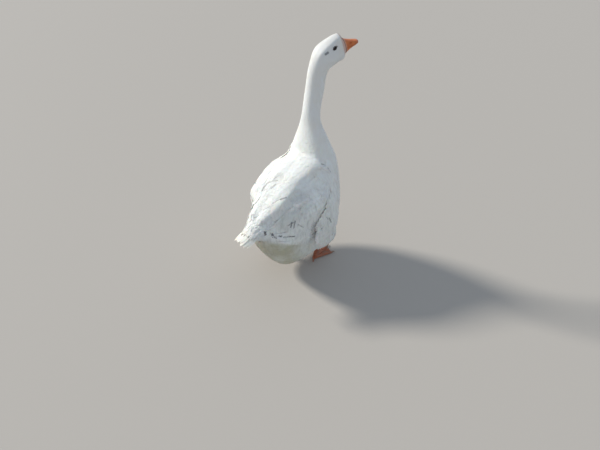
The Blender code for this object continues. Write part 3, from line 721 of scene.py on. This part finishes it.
def thigh_coat(tree, material):
    chance = np.random.default_rng(5)
    form = FORMS["loose"]
    for seed, name in enumerate(SIDES, 31):
        shares, angles = [], []
        for row, share in enumerate(np.arange(0.1, 0.98, 0.055)):
            count = max(int(math.tau * np.interp(share, THIGH_SHARES, THIGH_RADII) / THIGH_GAP), 8)
            angles.append(staggered(count, row, chance, 0.2) * math.tau / count)
            shares.append(share + chance.uniform(-0.012, 0.012, count))
        a, b = np.concatenate(shares), np.concatenate(angles)
        size = 0.4 + 0.6 * smooth(a / 0.4)
        points = lay(thigh_surface(name), form, a, b, (-1, 0), 0.028 * size, 0.009 * size,
                     -THIGH_DEPTH * size, 0.001, seed)
        keep = outside(tree, points)
        coat = Coat(name + "_thigh_feathers")
        coat.add(form, points[keep], *thigh_map(name, a[keep], b[keep]))
        coat.build(material)


# Tiers of wing feathers: name, form, rows, feathers in a row, tips of the first and last feather
# (along, across) in the first row, how far each row lies behind it, the run from root to tip,
# half width, and how proud the tips stand. The name's length only tells the tiers' chances apart.
WING_TIERS = (
    ("primary", "flight", 1, 9, (1.03, 0.5), (0.86, 0.95), 0.0, (0.46, 0.06), 0.0125, 0.0004),
    ("secondary", "flight", 1, 12, (0.77, 0.46), (0.66, 1.02), 0.0, (0.34, 0.07), 0.015, 0.001),
    ("greater", "broad", 1, 13, (0.58, 0.16), (0.49, 0.98), 0.0, (0.24, 0.04), 0.0135, 0.0015),
    ("median", "broad", 2, 13, (0.45, 0.14), (0.38, 0.98), -0.085, (0.17, 0.02), 0.0115, 0.0019),
    ("lesser", "contour", 6, 16, (0.29, 0.1), (0.26, 0.98), -0.055, (0.12, 0.01), 0.0095, 0.0022),
    ("tertial", "broad", 1, 6, (0.8, 0.14), (0.84, 0.46), 0.0, (0.36, 0.02), 0.018, 0.0024),
    ("scapular", "broad", 5, 7, (0.76, -0.04), (0.66, 0.24), -0.11, (0.2, 0.0), 0.015, 0.0026),
)


def flank_edge(across):
    """How far along the wing the flank's feathers reach over it."""
    edge = np.interp(across, CREASE_ACROSS, CREASE_ALONG)
    return np.where(across < CREASE_ACROSS[0] - 0.02, -0.2, edge)


def flank_over(coat, name, surface, seed):
    """The breast's side feathers, which lie over the front of the folded wing."""
    chance = np.random.default_rng(seed)
    form = FORMS["contour"]
    aside = 0.012
    for row in range(12):
        b = np.arange(0.54, 1.06, 0.042) + 0.021 * (row % 2)
        b = b + chance.uniform(-0.008, 0.008, len(b))
        tip = flank_edge(b) - 0.034 * row + chance.uniform(-0.008, 0.008, len(b))
        keep = tip > -0.02
        b, tip = b[keep], tip[keep]
        if not len(b):
            return
        run = 0.11 * chance.uniform(0.92, 1.08, len(b))
        rise = FLANK_PROUD * smooth(1 - row / 9) * smooth((b - 0.44) / 0.18) + 0.0016
        points = lay(surface, form, tip - run, b - aside, (run, aside), run * 0.33, 0.0105,
                     rise - 0.005, rise, seed + row)
        coat.add(form, points, *wing_map(name, tip - run, b))


def wing_coat(name, material):
    """The folded wing's feathers, tier over tier from the tips to the wrist."""
    side = SIDES[name]
    chance = np.random.default_rng(41 if side > 0 else 42)
    coat = Coat(name + "_wing_feathers")
    surface = wing_surface(name)
    for tier, form_name, rows, count, first, last, behind, run, half_width, proud in WING_TIERS:
        for row in range(rows):
            share = (np.arange(count) + 0.5 * (row % 2)) / (count - 0.5)
            tip_a, tip_b = (start + (end - start) * share for start, end in zip(first, last))
            tip_a = tip_a + behind * row + chance.uniform(-0.008, 0.008, count)
            tip_b = tip_b + chance.uniform(-0.01, 0.01, count)
            reach = chance.uniform(0.95, 1.05, count)
            shown = tip_a > flank_edge(tip_b) - 0.05
            if not shown.any():
                continue
            tip_a, tip_b, reach, share = (v[shown] for v in (tip_a, tip_b, reach, share))
            run_a, run_b = run[0] * reach, run[1] * reach
            a, b = tip_a - run_a, tip_b - run_b
            step = 1e-3
            moved = surface(a + run_a * step, b + run_b * step, 0.0) - surface(a, b, 0.0)
            length = np.linalg.norm(moved, axis=-1) / step
            wide = half_width * chance.uniform(0.94, 1.06, len(a))
            rise = (proud + 0.0002 * row - 0.0004 * share) * (0.15 + 0.85 * smooth(tip_b / 0.2))
            points = lay(surface, FORMS[form_name], a, b, (run_a, run_b), length, wide, -0.004 + rise,
                         rise, 200 + 100 * side + 10 * row + len(tier), -0.05 * side)
            coat.add(FORMS[form_name], points, *wing_map(name, a, b))
    flank_over(coat, name, surface, 500 if side > 0 else 600)
    obj = coat.build(material)
    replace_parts(obj, name + "_wing")


def tail_coat(material):
    chance = np.random.default_rng(7)
    form = FORMS["rectrix"]
    count = 14
    spread = np.linspace(-1, 1, count) + chance.uniform(-0.05, 0.05, count)
    order = np.abs(spread)
    length = TAIL_LENGTH * (1 - 0.1 * order) * chance.uniform(0.9, 1.02, count)
    points = lay(tail_surface, form, np.zeros(count), spread, (1, 0), length, 0.01,
                 -0.003 * order - 0.001, -0.0032 * order, 71)
    coat = Coat("tail_feathers")
    coat.add(form, points, 0.35 + 0.2 * spread, np.full(count, 0.01))
    obj = coat.build(material)
    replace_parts(obj, "tail")


def bill_point(share, side, height):
    """Points of the bill: a share of its length, sideways, and above the mouth line."""
    back_f, back_z, belly_f, belly_z = STATION_ROWS[-1][:4]
    root_f = back_f + (belly_f - back_f) * MOUTH_SHARE
    root_z = back_z + (belly_z - back_z) * MOUTH_SHARE
    lean = (back_f - belly_f) / (back_z - belly_z)
    reach = MOUTH_GAP + BILL_LENGTH * share
    forward = root_f + reach * math.cos(BILL_TILT) + lean * height * (1 - share)
    up = root_z + height + reach * math.sin(BILL_TILT)
    up = up - MOUTH_SAG * np.sin(math.pi * np.minimum(share * 1.2, 1.0))
    return turned(np.stack(np.broadcast_arrays(side, forward, up), -1))


def press_nostrils(share, side, rise):
    """The bill's half widths with the nostrils pressed in and their rims raised."""
    centre = np.interp(NOSTRIL_SHARE, BILL_ROWS[:, 0], BILL_ROWS[:, 2]) * 0.6
    oval = ((share - NOSTRIL_SHARE) / 0.088) ** 2 + ((rise - centre) / 0.0021) ** 2
    side = side * (1 - 0.24 * smooth((1.25 - oval) / 0.7))
    return side * (1 + 0.02 * np.exp(-((oval - 1.5) / 0.4) ** 2))


def bill_half(name, upward, material):
    """One mandible, with nostrils, nail and the toothed edge of the mouth."""
    around, arch = 64, 48
    tip = 0.9 + 0.1 * np.sin(np.linspace(0, 1, 24)[1:] * math.pi / 2)
    share = np.concatenate([np.linspace(0, 0.9, 64), tip])
    row = spline(BILL_ROWS[:, 1:], np.interp(share, BILL_ROWS[:, 0], np.arange(len(BILL_ROWS))))
    half_width, high, deep = row[:, 0:1], row[:, 1:2], row[:, 2:3]
    angle = np.linspace(0, math.pi, arch)[None, :]
    share = share[:, None]
    side = half_width * np.sign(np.cos(angle)) * np.abs(np.cos(angle)) ** 0.8
    rise = (high if upward else deep) * np.sin(angle) ** 0.9
    edge = np.exp(-(rise / 0.0016) ** 2) * smooth((share - 0.08) / 0.1) * smooth((0.85 - share) / 0.1)
    teeth = 0.5 + 0.5 * np.sin(share * BILL_LENGTH / TOOTH_GAP * math.tau)
    side = side * (1 - 0.035 * edge * teeth)
    nail = smooth((share - 0.84) / 0.03) * smooth((0.62 - np.abs(side) / half_width) / 0.1)
    rise = rise + 0.0005 * nail * (rise > 0.0005)
    if upward:
        side = press_nostrils(share, side, rise)
    sign = 1 if upward else -1
    base = sign * MOUTH_GAP / 2
    inner = np.linspace(0, 1, around - arch + 2)[None, 1:-1]
    flat_side = side[:, -1:] + (side[:, :1] - side[:, -1:]) * inner
    flat = bill_point(share, flat_side, np.full_like(flat_side, base))
    points = np.concatenate([bill_point(share, side, base + sign * rise), flat], axis=1)
    shares = np.broadcast_to(share, points.shape[:2])
    heights = np.concatenate([rise / high.max(), np.zeros_like(flat_side)], axis=1)
    widths = np.broadcast_to(np.linspace(0, 1, around), shares.shape)
    maps = {"OFBake": np.stack([widths, shares], -1), "Bill": np.stack([heights, shares], -1)}
    obj = mesh_object(name, points, tube_faces(len(points), around, upward), material, maps, 40)
    outward(obj)
    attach(obj, "root")
    return obj


def make_eye(name, side, material):
    """An eyeball with a bulging cornea, its front towards the way it looks."""
    polar, turn = grid(np.linspace(0.02, math.pi - 0.02, 40), turns(48))
    _, out, along, aside = eye_frame(side)
    radius = EYE_RADIUS * (1 + 0.05 * np.exp(-(polar / 0.55) ** 2)) * 0.99
    looks = swing(out, swing(along, aside, turn), polar)
    points = eye_centre(side) - out * EYE_DEEPER + looks * radius[..., None]
    maps = {"Gaze": np.stack([turn / math.tau, polar / math.pi], -1)}
    obj = mesh_object(name + "_eyeball", points, tube_faces(40, 48), material, maps)
    outward(obj)
    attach(obj, "root")
    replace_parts(obj, name + "_eye")


def make_lids(name, side, material):
    """Bare eyelids that lie over the eyeball, round an opening drawn out to two corners."""
    around, across = 64, 16
    turn, roll = grid(turns(around), turns(across))
    point, out, along, aside = eye_frame(side)
    corner = np.abs(np.cos(turn))
    reach = (0.0013 - 0.0007 * corner) * (1 + np.cos(roll))
    far = np.cos(turn) * (0.006 + 0.0016 * corner ** 6 + reach)
    tall = np.sin(turn) * (0.0029 + reach)
    dome = np.sqrt(np.maximum(EYE_RADIUS ** 2 - far ** 2 - tall ** 2, 0)) - EYE_SUNK - EYE_DEEPER
    folds = 1 + 0.25 * np.cos(3 * roll)
    lift = np.maximum(dome, 0) + 0.0001 + 0.0006 * folds * np.sin(roll)
    points = point + along * far[..., None] + aside * tall[..., None] + out * lift[..., None]
    rows = grid_faces(around + 1, across) % (around * across)
    obj = mesh_object(name + "_eyelids", points, rows, material)
    outward(obj)
    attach(obj, "root")


def heading(angle):
    return np.array((math.sin(angle), math.cos(angle), 0.0))


def toe_end(side, toe):
    return heading(side * math.radians(TOE_ANGLES[toe])) * TOE_LENGTHS[toe]


def tube(path, radii, steps, columns, squash=1.0):
    """A closed smooth tube round a path, as rings of points and triangles."""
    path = np.asarray(path, float)
    place = np.linspace(0, len(path) - 1, steps)
    centres = spline(path, place)
    radius = spline(np.asarray(radii, float), place)
    ahead = unit(np.gradient(centres, axis=0))
    side = np.cross(ahead, (0, 0, 1))
    steep = np.linalg.norm(side, axis=-1) < 0.3
    side[steep] = np.cross(ahead[steep], (0, 1, 0))
    side = unit(side)
    up = np.cross(side, ahead)
    turn = turns(columns)[None, :, None]
    ring = side[:, None] * np.cos(turn) + up[:, None] * np.sin(turn) * squash
    return centres[:, None] + ring * radius[:, None, None], tube_faces(steps, columns)


def web_solid(side, start, first, second):
    """The skin between two toes as a thin closed sheet with a hollow front edge."""
    count = 28
    across = np.linspace(0, 1, count)[None, :, None]
    along = np.linspace(0.02, 1, count)[:, None, None]
    edge = toe_end(side, first) * (1 - across) + toe_end(side, second) * across
    hollow = 1 - (1 - WEB_NOTCH) * np.sin(math.pi * across) ** 0.7
    flat = (start + edge * along * hollow * 0.97) * (1, 1, 0)
    sag = 0.0012 * np.sin(math.pi * across) * along
    top = flat + (0, 0, 1) * (0.0006 + WEB_THICK - sag)
    base = flat + (0, 0, 0.0004)
    return np.concatenate([top, base[:, ::-1]], axis=1), tube_faces(count, 2 * count)


def claw_solid(tip, ahead):
    """A claw that curves down from a toe's tip."""
    path = [tip - ahead * 0.004 + (0, 0, 0.0006)]
    path += [tip + ahead * CLAW_LENGTH * share + (0, 0, up)
             for share, up in ((0.3, 0.001), (0.7, -0.0002), (1, -0.0024))]
    points, faces = tube(path, (CLAW_RADIUS, CLAW_RADIUS * 0.95, CLAW_RADIUS * 0.6, 0.0005), 20, 16)
    points[..., 2] = np.maximum(points[..., 2], FOOT_LOW)
    return points, faces


def merge(parts):
    points, faces, total = [], [], 0
    for part_points, part_faces in parts:
        points.append(part_points.reshape(-1, 3))
        faces.append(part_faces + total)
        total += len(points[-1])
    return np.concatenate(points), np.concatenate(faces)


def make_leg(name, side, skin_material, claw_material):
    """A bare shank with its webbed foot in one skin, and the claws apart."""
    heel = np.array((*HEELS[name], 0.0))
    ankle = np.array(ANKLES[name])
    foot = heel + (0, 0, 0.007)
    start = heel + (0, 0, TOE_AXIS_UP)
    shank = [ankle + (foot - ankle) * share for share in (-0.15, 0, 0.3, 0.75, 1)]
    parts = [tube(shank, SHANK_RADII, 60, 36)]
    claws = []
    for toe in TOE_ANGLES:
        reach = toe_end(side, toe)
        path = [start + reach * share + (0, 0, lift) for share, lift in KNUCKLES]
        parts.append(tube(path, TOE_RADII, 60, 28, 0.9))
        claws.append(claw_solid(start + reach, unit(reach)))
    parts += [web_solid(side, start, "inner", "middle"), web_solid(side, start, "middle", "outer")]
    back = heading(side * math.radians(150))
    hind = [start + back * reach + (0, 0, up) for reach, up in
            ((-0.002, 0.006), (HIND_TOE_LENGTH * 0.6, 0.0045), (HIND_TOE_LENGTH, -0.0015))]
    parts.append(tube(hind, HIND_TOE_RADII, 24, 20))
    leg = mesh_object(name + "_leg_skin", *merge(parts), skin_material)
    modifier = leg.modifiers.new("remesh", "REMESH")
    modifier.mode = "VOXEL"
    modifier.voxel_size = 0.0008
    apply_modifiers(leg)
    shape_leg(leg, side, start, ankle)
    leg.data.shade_smooth()
    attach(leg, "root")
    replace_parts(leg, name + "_leg")
    claw = mesh_object(name + "_claws", *merge(claws), claw_material)
    outward(claw)
    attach(claw, "root")


def beside(points, root, end):
    """How far along an axis points lie, and how far from it."""
    ahead = unit(end - root)
    along = dot(points - root, ahead)
    return along, np.linalg.norm(points - root - along[:, None] * ahead, axis=-1)


def shape_leg(leg, side, start, ankle):
    """Presses scutes into the skin of shank and toes, and sets the foot flat on the floor."""
    vertices = leg.data.vertices
    co, normal = np.empty(len(vertices) * 3), np.empty(len(vertices) * 3)
    vertices.foreach_get("co", co)
    vertices.foreach_get("normal", normal)
    co, normal = co.reshape(-1, 3), normal.reshape(-1, 3)
    root, top = to_scene(start), to_scene(ankle)
    relief = np.zeros(len(co))
    for toe in TOE_ANGLES:
        along, away = beside(co, root, to_scene(start + toe_end(side, toe)))
        near = smooth((0.0075 - away) / 0.0015) * (along > 0.006) * (normal[:, 2] > 0.2)
        relief += near * SCUTE_DEEP * (np.abs(np.sin(math.pi * along / SCUTE_GAP)) ** 0.35 - 1)
    along, away = beside(co, top, root)
    shank = (away < 0.011) & (along > 0) & (along < np.linalg.norm(root - top) - 0.006)
    turn = np.arctan2(co[:, 0] - top[0], co[:, 1] - top[1])
    relief += shank * 0.00022 * np.cos(math.tau * along / 0.0034) * np.cos(turn * 9)
    co += normal * relief[:, None]
    co[:, 2] = np.maximum(co[:, 2], FOOT_LOW)
    vertices.foreach_set("co", co.astype(np.float32).ravel())
    leg.data.update()


class Shader:
    """A small helper that adds nodes to a node tree."""

    def __init__(self, tree):
        self.tree = tree

    def fill(self, node, inputs):
        """Sets or links a node's inputs: i0 is the first, and a name has _ for each space."""
        for key, value in inputs.items():
            socket = node.inputs[int(key[1:]) if key[1:].isdigit() else key.replace("_", " ")]
            if isinstance(value, bpy.types.NodeSocket):
                self.tree.links.new(value, socket)
            else:
                socket.default_value = value
        return node

    def add(self, kind, settings=None, **inputs):
        node = self.tree.nodes.new(kind)
        for key, value in (settings or {}).items():
            setattr(node, key, value)
        return self.fill(node, inputs)

    def math(self, operation, a, b=0.0):
        return self.add("ShaderNodeMath", {"operation": operation}, i0=a, i1=b).outputs[0]

    def times(self, first, *others):
        for other in others:
            first = self.math("MULTIPLY", first, other)
        return first

    def vector(self, operation, a, b=(0.0, 0.0, 0.0), **inputs):
        return self.add("ShaderNodeVectorMath", {"operation": operation}, i0=a, i1=b, **inputs).outputs

    def parts(self, vector):
        return self.add("ShaderNodeSeparateXYZ", Vector=vector).outputs

    def place(self):
        return self.add("ShaderNodeTexCoord").outputs["Object"]

    def map(self, name):
        return self.add("ShaderNodeUVMap", {"uv_map": name}).outputs[0]

    def group(self, tree):
        return self.add("ShaderNodeGroup", {"node_tree": tree}).outputs[0]

    def mix(self, factor, a, b):
        return self.add("ShaderNodeMix", {"data_type": "RGBA"}, i0=factor, i6=a, i7=b).outputs[2]

    def span(self, value, low, high, to_low=0.0, to_high=1.0):
        return self.add("ShaderNodeMapRange", {"interpolation_type": "SMOOTHSTEP"},
                        i0=value, i1=low, i2=high, i3=to_low, i4=to_high).outputs[0]

    def noise(self, vector, scale, detail=2.0, roughness=0.5):
        return self.add("ShaderNodeTexNoise", Vector=vector, Scale=scale, Detail=detail,
                        Roughness=roughness).outputs[0]

    def stretched(self, vector, scale):
        return self.add("ShaderNodeMapping", Vector=vector, Scale=scale).outputs[0]

    def bump(self, height, strength, distance):
        return self.add("ShaderNodeBump", Strength=strength, Distance=distance, Height=height).outputs[0]


class Material(Shader):
    """A new material, with helpers for its nodes."""

    def __init__(self, name):
        self.made = bpy.data.materials.new(name)
        self.made.use_nodes = True
        super().__init__(self.made.node_tree)

    def finish(self, **inputs):
        """Sets the surface's own inputs and gives the material."""
        self.fill(self.tree.nodes["Principled BSDF"], inputs)
        return self.made


WHITE = (0.86, 0.85, 0.82, 1)
CREAM = (0.8, 0.74, 0.62, 1)
# Grey of the painted shade on the sides
STREAKED_SHADE_GREY = (0.58, 0.57, 0.54, 1)
LOW_BELLY_TINT = (0.49, 0.45, 0.32, 1)
# Dark grey of the strokes: dirt, and painted shade on the right wing
SMUDGE_AND_SHADE_TONE = (0.09, 0.09, 0.1, 1)
ROSE = (0.66, 0.44, 0.37, 1)
SHAFT = (0.72, 0.66, 0.54, 1)

# Dark strokes on the plumage: the surface, both ends as (along, across) on a wing or (station,
# degrees) on the trunk, half width, strength, and how broken up the stroke is. Most are dirt
# smudges and dark lines along feather edges; two broad strokes in the right wing's front crease
# and a wide patch on its shaded face are painted shade
STROKES = (
    ("right", (1.03, 0.6), (1.05, 0.78), 0.0055, 0.9, 2.0),
    ("right", (1.04, 0.74), (1.03, 0.88), 0.0045, 0.85, 2.0),
    ("right", (0.936, 0.7), (0.94, 0.85), 0.0055, 0.9, 2.0),
    ("right", (0.93, 0.8), (0.896, 0.855), 0.0045, 0.85, 2.0),
    ("right", (0.835, 0.755), (0.805, 0.755), 0.0042, 0.85, 1.5),
    ("right", (0.785, 0.775), (0.661, 0.793), 0.0032, 0.85, 1.5),
    ("right", (0.694, 0.545), (0.617, 0.535), 0.0028, 0.6, 3.0),
    ("right", (0.651, 0.52), (0.674, 0.6), 0.0028, 0.8, 2.0),
    ("right", (0.617, 0.52), (0.651, 0.64), 0.0026, 0.7, 2.5),
    ("right", (0.604, 0.61), (0.564, 0.712), 0.003, 0.4, 5.0),
    ("right", (0.376, 0.726), (0.366, 0.786), 0.0026, 0.5, 3.0),
    ("right", (0.356, 0.775), (0.346, 0.878), 0.003, 0.6, 3.0),
    # Painted shade in the crease where the flank's feathers overlap the right wing
    ("right", (0.47, 0.765), (0.485, 0.93), 0.0125, 0.26, 2.2),
    ("right", (0.487, 0.85), (0.5, 1.04), 0.015, 0.24, 2.6),
    # Painted shade: a wide faint patch darkens the right wing's shaded face
    ("right", (0.5, 0.3), (0.69, 0.5), 0.042, 0.19, 0.3),
    # Dirt smudges and dark lines along feather edges
    ("trunk", (6.43, -39.5), (6.6, -50.0), 0.0028, 0.5, 2.0),
    ("right", (0.012, 0.1), (0.03, 0.35), 0.0022, 0.35, 2.0),
    ("left", (0.641, 0.045), (0.58, 0.015), 0.0036, 0.5, 3.0),
    ("trunk", (3.85, 17.0), (4.13, 4.0), 0.0036, 0.35, 3.0),
    ("trunk", (3.7, 5.0), (3.93, 2.5), 0.0034, 0.45, 3.0),
    ("trunk", (4.2, 10.0), (4.4, 6.0), 0.011, 0.2, 2.0),
    ("right", (0.701, -0.015), (0.624, 0.052), 0.0026, 0.45, 3.0),
    ("right", (0.624, 0.06), (0.577, 0.109), 0.0032, 0.55, 2.5),
    ("trunk", (2.56, -5.8), (2.95, -12.0), 0.0022, 0.3, 2.0),
    ("trunk", (1.8, 9.0), (2.3, 9.8), 0.0034, 0.35, 3.0),
    ("trunk", (0.847, -13.8), (1.067, 0.0), 0.003, 0.35, 3.0),
    ("trunk", (13.7, -52.5), (13.9, -54.8), 0.0042, 0.75, 0.8),
)


def bill_root_plane():
    """A point of the bill's root and the way the bill points from it."""
    angles = np.array((0, math.pi / 2, math.pi))
    top, left, low = to_scene(trunk(np.full(3, float(LAST_STATION)), angles))
    ahead = unit(np.cross(top - low, left - low))
    tip = to_scene(bill_point(np.float64(1.0), 0.0, 0.0))
    return low, ahead * np.sign(dot(tip - low, ahead))


def stroke_ends(name, ends):
    """Both ends of a stroke, on the plumage."""
    a, b = ends.T
    if name == "trunk":
        return on_trunk(a, np.radians(b), 0.0)
    return wing_surface(name)(a, b, np.where(a < flank_edge(b), FLANK_PROUD, 0.002))


def stroke_share(shader, place, fine, name, start, end, wide, strength, broken):
    """How much of a stroke's dark grey lies at a place; strokes are dirt smudges, and some are painted
    shade.
    """
    ends = to_scene(stroke_ends(name, np.array((start, end))))
    run = ends[1] - ends[0]
    away = shader.vector("SUBTRACT", place, tuple(ends[0]))[0]
    share = shader.times(shader.vector("DOT_PRODUCT", away, tuple(run))[1], 1 / dot(run, run))
    share = shader.math("MINIMUM", shader.math("MAXIMUM", share, 0.0), 1.0)
    nearest = shader.vector("SCALE", tuple(run), i3=share)[0]
    distance = shader.vector("DISTANCE", away, nearest)[1]
    ragged = shader.times(shader.math("SUBTRACT", fine, 0.5), broken)
    distance = shader.math("ADD", shader.math("DIVIDE", distance, wide), ragged)
    return shader.span(distance, 1.15, 0.45, 0.0, strength)


def plumage_group():
    """Off-white with cream staining, smudges and painted shade, the same for the skin and the coat."""
    group = bpy.data.node_groups.new("plumage_colour", "ShaderNodeTree")
    group.interface.new_socket("Color", in_out="OUTPUT", socket_type="NodeSocketColor")
    shader = Shader(group)
    place = shader.place()
    _, back, up = shader.parts(place)
    patchy = shader.noise(place, 14.0, 4.0, 0.6)
    fine = shader.noise(place, 230.0, 3.0, 0.6)
    streaks = shader.noise(shader.stretched(place, (110, 110, 34)), 1.0, 3.0, 0.65)
    colour = shader.mix(shader.span(patchy, 0.42, 0.72, 0.0, 0.35), WHITE, CREAM)
    # Painted shade: the sides turn a streaky grey from the back's height downwards
    streaked_shade = shader.times(shader.span(up, 0.44, 0.34), shader.span(streaks, 0.42, 0.66, 0.0, 0.5))
    colour = shader.mix(streaked_shade, colour, STREAKED_SHADE_GREY)
    # Greenish-beige in patches, low on the belly
    under = shader.span(shader.math("SUBTRACT", up, shader.times(back, 0.48)), 0.178, 0.152)
    low_belly_share = shader.times(under, shader.span(up, 0.262, 0.246), shader.span(back, -0.02, 0.11),
                          shader.span(patchy, 0.28, 0.58, 0.45, 0.95))
    colour = shader.mix(low_belly_share, colour, LOW_BELLY_TINT)
    colour = shader.mix(shader.span(back, 0.17, 0.24, 0.0, 0.6), colour, CREAM)
    # Dark strokes: dirt smudges, and painted shade in the right wing's crease and on its face
    for stroke in STROKES:
        colour = shader.mix(stroke_share(shader, place, fine, *stroke), colour, SMUDGE_AND_SHADE_TONE)
    root, ahead = bill_root_plane()
    away = shader.vector("SUBTRACT", place, tuple(root))[0]
    near = shader.vector("DOT_PRODUCT", away, tuple(ahead))[1]
    colour = shader.mix(shader.span(near, -0.0105, -0.005, 0.0, 0.9), colour, ROSE)
    shader.add("NodeGroupOutput", i0=colour)
    return group


def skin_material(group):
    shader = Material("plumage_skin")
    return shader.finish(Base_Color=shader.group(group), Roughness=0.8)


def feather_material(group):
    """The plumage's colour with barbs and a shaft on every vane."""
    shader = Material("plumage_feather")
    across, along, _ = shader.parts(shader.map("Vane"))
    away = shader.math("ABSOLUTE", shader.math("SUBTRACT", across, 0.5))
    shaft = shader.span(away, 0.035, 0.0)
    slant = shader.math("SUBTRACT", along, shader.times(away, 0.9))
    barbs = shader.math("SINE", shader.times(slant, BARBS))
    ridge = shader.math("ADD", shader.times(barbs, 0.1), shader.times(shaft, 0.8))
    colour = shader.mix(shader.times(shaft, 0.25), shader.group(group), SHAFT)
    return shader.finish(Base_Color=colour, Normal=shader.bump(ridge, 0.25, 0.0006), Roughness=0.62,
                         Sheen_Weight=0.15, Sheen_Roughness=0.5,
                         Subsurface_Weight=0.15, Subsurface_Scale=0.006)


def bill_material():
    shader = Material("bill_horn")
    place = shader.place()
    high, share, _ = shader.parts(shader.map("Bill"))
    patchy = shader.noise(place, 90.0, 4.0, 0.6)
    colour = shader.mix(shader.span(patchy, 0.35, 0.7), (0.62, 0.17, 0.035, 1), (0.5, 0.13, 0.035, 1))
    for value, ends, most, tint in (
        (share, (0.14, 0.05), 0.8, (0.6, 0.36, 0.27, 1)),
        # Painted shade: a thin dark line at the root, where the bill meets the feathers
        (share, (0.045, 0.02), 0.8, (0.16, 0.08, 0.06, 1)),
        (share, (0.78, 0.93), 0.7, (0.42, 0.13, 0.09, 1)),
        (high, (0.1, 0.0), 0.35, (0.3, 0.09, 0.03, 1)),
    ):
        colour = shader.mix(shader.span(value, *ends, 0.0, most), colour, tint)
    relief = shader.math("ADD", shader.noise(place, 900.0, 3.0, 0.6), shader.times(patchy, 1.5))
    return shader.finish(Base_Color=colour, Normal=shader.bump(relief, 0.25, 0.0004),
                         Roughness=shader.span(patchy, 0.3, 0.7, 0.36, 0.52),
                         Subsurface_Weight=0.12, Subsurface_Scale=0.003)


def lid_material():
    shader = Material("eyelid_painted_shade")
    patchy = shader.noise(shader.place(), 600.0, 3.0, 0.6)
    # Painted shade: the lids are near-black so that the eye's rim and corners look shaded under the brow
    colour = shader.mix(patchy, (0.11, 0.08, 0.07, 1), (0.05, 0.04, 0.04, 1))
    return shader.finish(Base_Color=colour, Normal=shader.bump(patchy, 0.4, 0.0003), Roughness=0.5)


def eye_material():
    shader = Material("eye_wet")
    gaze = shader.map("Gaze")
    polar = shader.parts(gaze)[1]
    spokes = shader.noise(shader.stretched(gaze, (60, 4, 1)), 1.0, 2.0)
    iris = shader.mix(spokes, (0.016, 0.007, 0.004, 1), (0.05, 0.022, 0.01, 1))
    colour = shader.mix(shader.span(polar, 0.15, 0.165), (0.002, 0.002, 0.002, 1), iris)
    colour = shader.mix(shader.span(polar, 0.235, 0.27), colour, (0.006, 0.004, 0.003, 1))
    return shader.finish(Base_Color=colour, Roughness=0.14, Specular_IOR_Level=0.25,
                         Coat_Weight=0.25, Coat_Roughness=0.03)


def leg_material():
    shader = Material("leg_scutes")
    place = shader.place()
    cells = shader.add("ShaderNodeTexVoronoi", {"feature": "DISTANCE_TO_EDGE"}, Vector=place, Scale=520.0)
    groove = shader.span(cells.outputs[0], 0.0, 0.12)
    patchy = shader.noise(place, 60.0, 4.0, 0.6)
    colour = shader.mix(shader.span(patchy, 0.35, 0.7), (0.44, 0.12, 0.045, 1), (0.3, 0.08, 0.04, 1))
    lines = shader.times(shader.math("SUBTRACT", 1.0, groove), 0.5)
    colour = shader.mix(lines, colour, (0.16, 0.07, 0.04, 1))
    dust = shader.times(shader.span(shader.parts(place)[2], 0.03, 0.0),
                        shader.span(patchy, 0.4, 0.65, 0.1, 0.6))
    colour = shader.mix(dust, colour, (0.3, 0.22, 0.16, 1))
    return shader.finish(Base_Color=colour, Normal=shader.bump(groove, 0.6, 0.0004),
                         Roughness=shader.span(patchy, 0.3, 0.7, 0.45, 0.65))


def claw_material():
    shader = Material("claw_horn")
    grain = shader.noise(shader.stretched(shader.place(), (900, 300, 900)), 1.0, 3.0)
    colour = shader.mix(grain, (0.42, 0.3, 0.22, 1), (0.22, 0.14, 0.1, 1))
    return shader.finish(Base_Color=colour, Roughness=0.4)


def make_stage():
    """A plain pale floor."""
    mesh = bpy.data.meshes.new("floor")
    corners = [(x * FLOOR_HALF, y * FLOOR_HALF, 0) for x, y in ((-1, -1), (1, -1), (1, 1), (-1, 1))]
    mesh.from_pydata(corners, [], [(0, 1, 2, 3)])
    mesh.materials.append(Material("floor").finish(Base_Color=(0.42, 0.4, 0.37, 1), Roughness=0.9))
    new_object("floor", mesh)


def aim(obj, way):
    obj.rotation_euler = Vector(way).to_track_quat("-Z", "Y").to_euler()


def make_camera():
    data = bpy.data.cameras.new("camera")
    data.lens = CAMERA_LENS
    data.sensor_width = 36
    camera = new_object("camera", data)
    camera.location = to_scene(CAMERA_PLACE)
    level = Vector((CAMERA_AHEAD[0], -CAMERA_AHEAD[1], 0)).normalized()
    aim(camera, level * math.cos(CAMERA_PITCH) - Vector((0, 0, math.sin(CAMERA_PITCH))))
    bpy.context.scene.camera = camera


def make_lights():
    """A soft key from the goose's left, a little behind, and an even pale sky."""
    data = bpy.data.lights.new("key", "SUN")
    data.angle = math.radians(9)
    data.energy = 3.7
    data.color = (1.0, 0.945, 0.865)
    aim(new_object("key", data), [-part for part in KEY_WAY])
    world = bpy.data.worlds.new("sky")
    world.use_nodes = True
    background = world.node_tree.nodes["Background"]
    background.inputs[0].default_value = (0.78, 0.87, 1.0, 1)
    background.inputs[1].default_value = 0.59
    bpy.context.scene.world = world
    bpy.context.scene.view_settings.view_transform = "Standard"


def main():
    group = plumage_group()
    feather = feather_material(group)
    skin = make_skin(skin_material(group))
    bm = bmesh.new()
    bm.from_mesh(skin.data)
    tree = BVHTree.FromBMesh(bm)
    bm.free()
    trunk_coat(tree, feather)
    thigh_coat(tree, feather)
    for name in SIDES:
        wing_coat(name, feather)
    tail_coat(feather)
    horn = bill_material()
    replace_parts(bill_half("bill_upper_half", True, horn), "upper_bill")
    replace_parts(bill_half("bill_lower_half", False, horn), "lower_bill")
    wet, rim, scutes, claw = eye_material(), lid_material(), leg_material(), claw_material()
    for name, side in SIDES.items():
        make_eye(name, side, wet)
        make_lids(name, side, rim)
        make_leg(name, side, scutes, claw)
    make_stage()
    make_camera()
    make_lights()


main()
